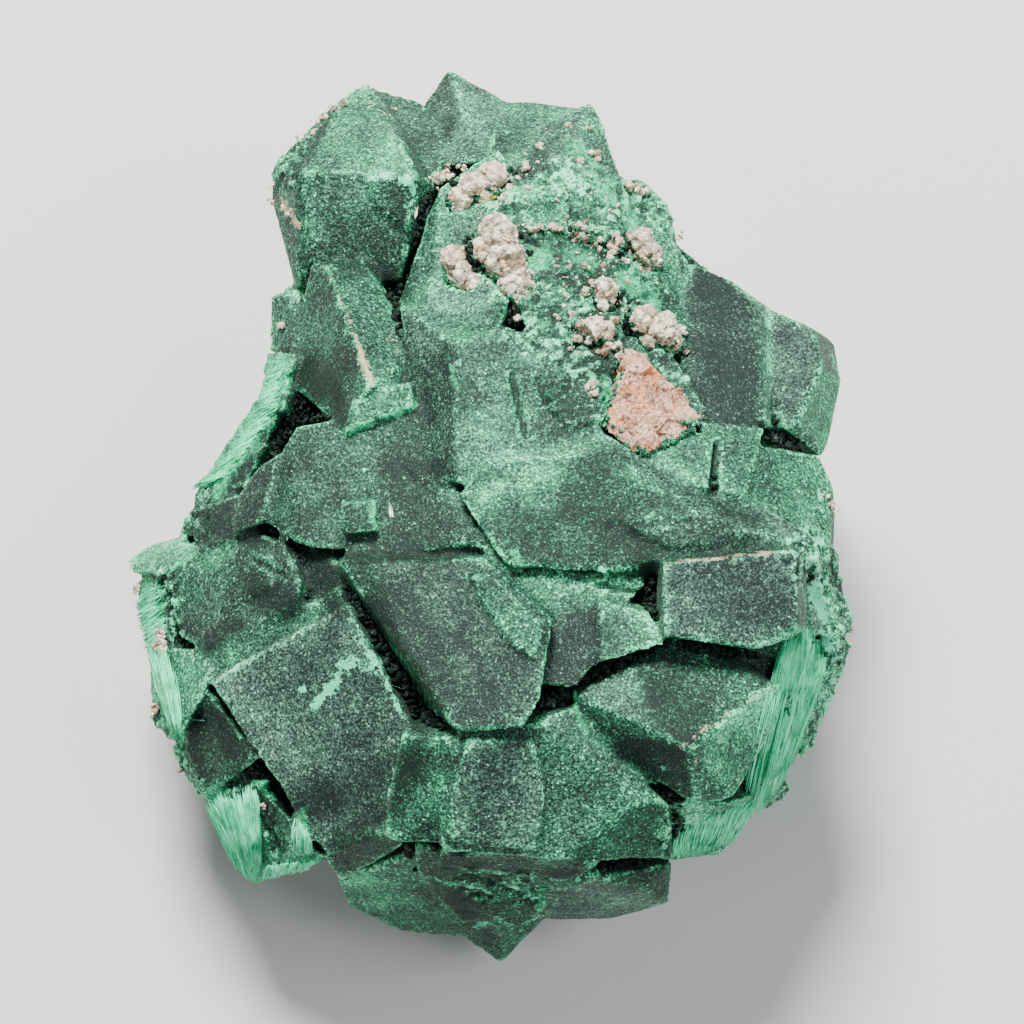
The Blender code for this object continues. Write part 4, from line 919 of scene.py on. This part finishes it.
def tubeFaces(count, rings, sides):
    # Triangles between the rings of each tube, and a fan over both of its ends.
    i, j = np.meshgrid(np.arange(rings - 1), np.arange(sides), indexing="ij")
    a, b = i * sides + j, i * sides + (j + 1) % sides
    wall = np.concatenate([np.stack([a, b, b + sides], -1), np.stack([a, b + sides, a + sides], -1)])
    fan = np.stack([np.zeros(sides - 2, int), np.arange(2, sides), np.arange(1, sides - 1)], axis=1)
    lastRing = (rings - 1) * sides
    one = np.concatenate([wall.reshape(-1, 3), fan, fan[:, ::-1] + lastRing])
    return (one[None] + (np.arange(count) * rings * sides)[:, None, None]).reshape(-1, 3)


def joined(parts):
    # Points, faces and marks of several parts as one set.
    starts = np.cumsum([0] + [len(part[0]) for part in parts])
    points = np.concatenate([part[0] for part in parts])
    faces = np.concatenate([part[1] + start for part, start in zip(parts, starts)])
    return (points, faces, *[np.concatenate(column) for column in list(zip(*parts))[2:]])


silkyMaterial = fibreFinish()
for order, (name, zones) in enumerate(fibres["zones"].items()):
    bundles = [fibreBundle(*zone, seed=100 + order * 10 + k) for k, zone in enumerate(zones)]
    points, faces, own, ends = joined(bundles)
    addPiece(name, meshOf(name, points, faces, True, {"own": own, "end": ends}), silkyMaterial, "malachite")
    print(name, len(faces), "triangles")


# Small crystals: icosahedra with uneven corners
golden = (1 + math.sqrt(5)) / 2
seedCorners = np.array([
    (-1, golden, 0), (1, golden, 0), (-1, -golden, 0), (1, -golden, 0), (0, -1, golden), (0, 1, golden),
    (0, -1, -golden), (0, 1, -golden), (golden, 0, -1), (golden, 0, 1), (-golden, 0, -1), (-golden, 0, 1),
]) / math.hypot(1, golden)
seedFaces = np.array([
    (0, 11, 5), (0, 5, 1), (0, 1, 7), (0, 7, 10), (0, 10, 11), (1, 5, 9), (5, 11, 4), (11, 10, 2),
    (10, 7, 6), (7, 1, 8), (3, 9, 4), (3, 4, 2), (3, 2, 6), (3, 6, 8), (3, 8, 9), (4, 9, 5),
    (2, 4, 11), (6, 2, 10), (8, 6, 7), (9, 8, 1),
])


def crystalsAt(centres, radii, seed, uneven=0.16, stretch=0.35):
    # Each crystal's corners are pushed in or out, stretched, turned at random and moved to its centre.
    chance = np.random.default_rng(seed)
    count = len(centres)
    corners = seedCorners[None] * (1 + chance.uniform(-uneven, uneven, (count, 12, 1)))
    corners = corners * (1 + chance.uniform(-stretch, stretch, (count, 1, 3)))
    turn = chance.normal(size=(count, 4))
    w, x, y, z = (turn / np.linalg.norm(turn, axis=1, keepdims=True)).T
    spin = np.stack([
        1 - 2 * (y * y + z * z), 2 * (x * y - w * z), 2 * (x * z + w * y),
        2 * (x * y + w * z), 1 - 2 * (x * x + z * z), 2 * (y * z - w * x),
        2 * (x * z - w * y), 2 * (y * z + w * x), 1 - 2 * (x * x + y * y),
    ], axis=1).reshape(-1, 3, 3)
    points = np.einsum("nij,nkj->nki", spin, corners) * np.asarray(radii)[:, None, None] + centres[:, None]
    faces = seedFaces[None] + (np.arange(count) * 12)[:, None, None]
    return points.reshape(-1, 3), faces.reshape(-1, 3), np.repeat(chance.uniform(0, 1, count), 12)


def scatterOn(points, faces, count, seed):
    # Random places on triangles, as many on each as its area asks for.
    chance = np.random.default_rng(seed)
    a, b, c = (points[faces[:, k]] for k in range(3))
    area = np.linalg.norm(np.cross(b - a, c - a), axis=1)
    chosen = chance.choice(len(faces), count, p=area / area.sum())
    u, v = chance.uniform(0, 1, (2, count))
    u, v = np.where(u + v > 1, 1 - u, u), np.where(u + v > 1, 1 - v, v)
    return a[chosen] + u[:, None] * (b - a)[chosen] + v[:, None] * (c - a)[chosen], area.sum() / 2


# Seated grains: each keeps its own form, swollen to fill its seat and broken into sugary crystals
grainPieces = {
    "cell": 0.15,           # mm between the points of a grain's skin
    "swell": 0.26,
    "crystals": ((2.2, 0.34), (0.95, 0.24), (0.4, 0.10)),    # their widths, and how far they stand up
    "yellow": [(1.1, [(48.4, 20.8), (49.4, 20.2)])],         # the stroke of the yellow spot
    "nodes": {
        "big_quartz": "pale_quartz", "left_quartz": "pale_quartz", "cream_grain": "pale_quartz",
        "upper_right_quartz": "pale_quartz", "lower_right_quartz": "pale_quartz",
        "white_grain": "pale_quartz",
        "rose_grain": "rose_quartz", "pink_bead": "rose_quartz", "grey_grain": "rose_quartz",
    },
}
quartzMaterials = {
    "pale_quartz": quartzFinish("paleQuartz", (0.48, 0.41, 0.28), (0.58, 0.35, 0.17), 0.02),
    "rose_quartz": quartzFinish("roseQuartz", (0.46, 0.34, 0.25), (0.50, 0.25, 0.14), 0.08),
}


def seatedSkin(node, settings, seed):
    # An even skin moved outwards by its swelling and by crystals of each size.
    points, faces = remeshed(node, settings["cell"])
    normals = normalsOf(points, faces)
    near = Neighbours(faces, len(points))
    points = near.average(points, 2)
    move = np.full(len(points), settings["swell"])
    own = np.zeros(len(points))
    for order, (size, height) in enumerate(settings["crystals"]):
        facet, number = brokenFacets(points, size, seed + order * 10)
        move += height * facet
        own += number / (order + 1)
    points = points + normals * move[:, None]
    return points, faces, near.average(own / 1.5, 1)


seated = []
for order, (node, slot) in enumerate(grainPieces["nodes"].items()):
    points, faces, own = seatedSkin(node, grainPieces, 200 + order * 7)
    seated.append(points)
    marks = {"own": own, "yellow": strokeMask(*shownAt(points)[:2], grainPieces["yellow"])}
    addPiece(f"sugary_{node}", meshOf(node, points, faces, False, marks), quartzMaterials[slot], slot, node)

# The pink chunk: its own form with a finer, rougher skin
chunk = {"cell": 0.17, "swell": 0.22, "crystals": ((2.1, 0.55), (0.8, 0.16), (0.35, 0.07))}
points, faces, _ = seatedSkin("pink_chunk", chunk, 400)
seated.append(points)
mesh = meshOf("pinkChunk", points, faces, False)
addPiece("pinkChunk", mesh, chunkFinish(), "pink_feldspar", "pink_chunk")
print("seated grains and chunk ready")

# Beads too small for the solids: across, down, radius
beads = {
    "paleBeads": ("pale_quartz", [
        (54, 14.5, 0.5), (56.8, 12.6, 0.45), (59.6, 15.6, 0.6), (58, 16.2, 0.45), (59, 12.9, 0.4),
        (53.5, 22.8, 0.6), (52.6, 16.8, 0.5), (51, 18.6, 0.6), (50.2, 19.8, 0.5), (62.9, 18.6, 0.6),
        (63.9, 19.2, 0.7), (64.6, 19, 0.5), (58.8, 29.2, 0.6), (59.4, 28.4, 0.5), (61.5, 32, 0.5),
        (57.6, 32.8, 0.6), (59, 34, 0.7), (60.6, 34.6, 0.6), (61.6, 34.4, 0.5), (59, 38.4, 0.5),
        (59.4, 39.4, 0.45), (68, 23.7, 0.5), (28, 32.6, 0.5), (27.2, 20.2, 0.35), (27.3, 18.5, 0.3),
        (28.9, 21.4, 0.4), (28.4, 20.8, 0.4), (32.2, 11.6, 0.5), (33.4, 10.8, 0.5), (34.4, 10.2, 0.4),
        (16, 63.4, 0.55), (16.3, 64.4, 0.6), (15.6, 64.8, 0.4), (13.6, 58.7, 0.4), (13.5, 59.2, 0.3),
        (82.2, 49.5, 0.35), (83, 50.5, 0.35), (43.6, 18, 0.5), (44.6, 17.4, 0.55), (68.2, 33, 0.5),
        (62.4, 31, 0.35), (55.6, 31.6, 0.4), (56.9, 26.5, 0.35), (62.6, 26, 0.4), (51.8, 31.8, 0.4),
        (68.6, 35.2, 0.3), (26.4, 80.6, 0.3), (17.9, 77, 0.3), (46.4, 16.8, 0.4), (60, 24, 0.4),
    ]),
    "roseBeads": ("rose_quartz", [
        (55.5, 22.8, 0.7), (59.8, 32, 0.6), (61, 33, 0.7), (57.8, 33.8, 0.5), (44.3, 17.7, 0.7),
        (60.3, 35.4, 0.6), (62, 35.8, 0.5), (58.6, 26.6, 0.5), (15.7, 70.8, 0.5), (15.4, 71.4, 0.4),
        (61.2, 25.4, 0.6), (57.2, 31.4, 0.4), (70, 41.6, 0.4),
    ]),
}


sightOver = skinSight.raised(3)      # the skin beside each place, also over the hollows the stones sit in
sightAcross = skinSight.closed(3)    # the skin with its narrow hollows filled


def beadCrystals(spots, seed):
    # Each bead is a handful of crystals round its middle, which sits a little above the skin.
    chance = np.random.default_rng(seed)
    spots = np.array(spots)
    each = 7
    depth = sightAcross.at(spots[:, 0], spots[:, 1]) + spots[:, 2] * 0.05
    middle = np.repeat(fromView(spots[:, 0], spots[:, 1], depth), each, axis=0)
    size = np.repeat(spots[:, 2], each)
    offsets = chance.normal(0, 0.42, (len(middle), 3)) * size[:, None]
    return crystalsAt(middle + offsets, size * chance.uniform(0.4, 0.75, len(size)), seed + 1)


def sprinkled(line, width, count, sizes, seed):
    # Small crystals at random places beside a line, as far from it as a normal spread of its width.
    chance = np.random.default_rng(seed)
    spots = alongLine(line, chance.uniform(0, 1, count)) + chance.normal(0, width, (count, 2))
    radii = chance.uniform(*sizes, count) ** 2 / sizes[1]
    depth = skinSight.at(spots[:, 0], spots[:, 1]) - radii * 0.3
    return crystalsAt(fromView(spots[:, 0], spots[:, 1], depth), radii, seed + 1, 0.3, 0.5)


# Crumbs of pale crystals among the green ones: the line they lie along, its width, and how many
crumbs = {
    "paleBeads": [
        ([(52, 17), (57, 16), (60, 20), (61.4, 26), (60, 33)], 1.6, 90, (0.1, 0.3)),
        ([(50.6, 22), (55, 24.6), (58.6, 30), (57.4, 35)], 1.1, 60, (0.1, 0.26)),
        ([(33, 11), (29.6, 14.6)], 0.4, 14, (0.15, 0.36)),
        ([(36.4, 9.6), (40.4, 12)], 0.8, 10, (0.12, 0.26)),
        ([(15.4, 63.4), (16.4, 64.8)], 0.5, 14, (0.15, 0.36)),
        ([(82, 49), (83.4, 51.4)], 0.4, 10, (0.12, 0.3)),
    ],
    "roseBeads": [
        ([(56, 21.6), (61, 25), (61.6, 33), (58.6, 38)], 1.4, 60, (0.1, 0.32)),
        ([(49.6, 30), (47, 22), (50.6, 18.6)], 0.9, 30, (0.12, 0.3)),
        ([(43.6, 18.4), (45.2, 17)], 0.4, 12, (0.15, 0.4)),
    ],
}
for order, (name, (slot, spots)) in enumerate(beads.items()):
    parts = [beadCrystals(spots, 300 + order * 5)]
    parts += [sprinkled(*crumb, seed=340 + order * 30 + k * 2) for k, crumb in enumerate(crumbs[name])]
    points, faces, own = joined(parts)
    addPiece(name, meshOf(name, points, faces, False, {"own": own}), quartzMaterials[slot], slot)


# Two cream splinters that lie on the faces: where each starts and ends, and how full its three fibres are
needles = [((38.9, 49.4), (39.4, 51.8), 1.7), ((41.9, 20.5), (41.5, 21.9), 1.2)]
splinters = []
for order, (start, end, fullness) in enumerate(needles):
    splinters.append(fibreBundle([start, start], [end, end], 3, 600 + order, fullness))
points, faces, own, _ = joined(splinters)
mesh = meshOf("creamSplinters", points, faces, False, {"own": own})
addPiece("creamSplinters", mesh, quartzMaterials["pale_quartz"], "pale_quartz")


# Green crystals grown against the seated stones close the joints round them
seam = {
    "perSquare": 9.0,        # places tried on each square mm of a stone
    "level": (-1.1, 0.10),   # mm above the skin beside it where a place is kept
    "outwards": 0.3,         # mm that a place moves away from the stone's middle
}


def seamPlaces(node, seed):
    # Places on a seated stone that are level with the skin beside it.
    points, faces = nodeArrays(node)
    _, area = scatterOn(points, faces, 3, seed)
    places, _ = scatterOn(points, faces, int(area * seam["perSquare"]), seed)
    across, down, depth = shownAt(places)
    gap = depth - sightOver.at(across, down)
    places = places[(gap > seam["level"][0]) & (gap < seam["level"][1])]
    outwards = places - points.mean(axis=0)
    outwards -= (outwards @ towardsEye)[:, None] * towardsEye
    length = np.maximum(np.linalg.norm(outwards, axis=1, keepdims=True), 1e-9)
    return places + outwards / length * seam["outwards"]


# Dark crystals in narrow pits, where the photo shows nothing
pits = {
    "area": ((12, 88), (7, 96)),
    "apart": 0.34,           # mm between the places tried
    "reach": 3,              # cells of the map to the ground that surrounds a pit
    "deep": 0.9,             # mm below that ground where a pit starts
    "below": (0.9, 2.0),     # mm below that ground where its crystals sit
}


def pitPlaces(seed):
    # Places in narrow deep pits of everything built so far, below the height of what surrounds them.
    chance = np.random.default_rng(seed)
    across, down = np.meshgrid(*[np.arange(*side, pits["apart"]) for side in pits["area"]])
    across, down = (part.ravel() + chance.uniform(-0.2, 0.2, part.size) for part in (across, down))
    skinDepth = allSight.at(across, down)
    closed = allSight.closed(pits["reach"])
    level = closed.at(across, down)
    deep = (level - skinDepth > pits["deep"]) & closed.at(across, down, "inside")
    depth = level[deep] - chance.uniform(*pits["below"], deep.sum())
    return fromView(across[deep], down[deep], depth)


allSight = DepthMap(np.concatenate([skinPoints, *seated]))
seams = [seamPlaces(node, 500 + k) for k, node in enumerate(["pink_chunk", *grainPieces["nodes"]])]

# Each kind's places, the least and the greatest radius, the darkest tone, and how far it lies in shade
greenCrystals = {
    "seamCrystals": (np.concatenate(seams), (0.12, 0.28), 0.26, 0.0),
    # Pit crystals are painted near black as shade, with a very dark tone and deep painted shade.
    "pitCrystals": (pitPlaces(540), (0.18, 0.38), -0.10, 0.92),
}
for name, (places, sizes, darkest, gully) in greenCrystals.items():
    radii = np.random.default_rng(len(name)).uniform(*sizes, len(places))
    points, faces, own = crystalsAt(places, radii, 521, 0.25, 0.45)
    marks = {"tone": darkest + own * 0.32, "emerald": own * (darkest + 0.2)}
    marks |= {"green": np.full(len(own), 0.8), "gully": np.full(len(own), gully)}
    addPiece(name, meshOf(name, points, faces, False, marks), velvetMaterial, "malachite")
    print(name, len(faces), "triangles")

print("beads and seams ready")


# Stage, light and camera
stage = {
    "floorRadius": 1.2,
    "floorColour": (0.58, 0.58, 0.57),
    "lights": [
        # place, size, power, colour
        ((-0.08, 0.32, 0.53), 0.24, 13.6, (1.0, 0.98, 0.95)),
        ((0.45, -0.12, 0.46), 0.50, 3.4, (0.96, 0.98, 1.0)),
        ((-0.45, -0.40, 0.45), 0.50, 1.6, (1.0, 1.0, 1.0)),
    ],
    "ambient": 0.11,
}


def lookAt(thing, place, target):
    # Put at the place and turned so that its own -Z points at the target.
    thing.location = place
    thing.rotation_euler = (Vector(target) - Vector(place)).to_track_quat("-Z", "Y").to_euler()


def makeStage():
    # A pale round floor just under the stone, soft lights and a dim even sky.
    angle = np.linspace(0, math.tau, 65)[:-1]
    rim = np.stack([np.cos(angle), np.sin(angle), np.zeros(64)], axis=1) * stage["floorRadius"] / mm
    points = np.concatenate([[[0, 0, 0]], rim]) + (0, 0, -0.02)
    turn = np.arange(64)
    faces = np.stack([np.zeros(64, int), turn + 1, (turn + 1) % 64 + 1], axis=1)
    floor = bpy.data.objects.new("floor", meshOf("floor", points, faces, False))
    bpy.context.scene.collection.objects.link(floor)
    paper = Finish("paleFloor")
    floor.data.materials.append(paper.finish(Base_Color=(*stage["floorColour"], 1), Roughness=0.85))
    for order, (place, size, power, colour) in enumerate(stage["lights"]):
        light = bpy.data.lights.new(f"softLight{order}", "AREA")
        light.shape, light.size, light.energy, light.color = "DISK", size, power, colour
        holder = bpy.data.objects.new(f"softLight{order}", light)
        bpy.context.scene.collection.objects.link(holder)
        lookAt(holder, place, (0, 0, 0.03))
    world = bpy.data.worlds.new("room")
    world.use_nodes = True
    sky = world.node_tree.nodes["Background"]
    sky.inputs["Color"].default_value = (0.95, 0.97, 1.0, 1)
    sky.inputs["Strength"].default_value = stage["ambient"]
    bpy.context.scene.world = world


def makeCamera():
    # The picture spans its width at the view's middle: the lens is the film's width times distance over it.
    lens = bpy.data.cameras.new("camera")
    lens.sensor_width = 36.0
    lens.lens = 36.0 * viewing["distance"] / viewing["pictureWidth"]
    camera = bpy.data.objects.new("camera", lens)
    bpy.context.scene.collection.objects.link(camera)
    lookAt(camera, (viewMiddle + towardsEye * viewing["distance"]) * mm, viewMiddle * mm)
    bpy.context.scene.camera = camera


makeStage()
makeCamera()

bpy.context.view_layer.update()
print("stage, light and camera ready")
total = sum(sum(len(face.vertices) - 2 for face in piece.data.polygons) for piece in bpy.data.objects
            if piece.type == "MESH" and piece.name != "floor")
print("triangles in all, CAD nodes included:", total)
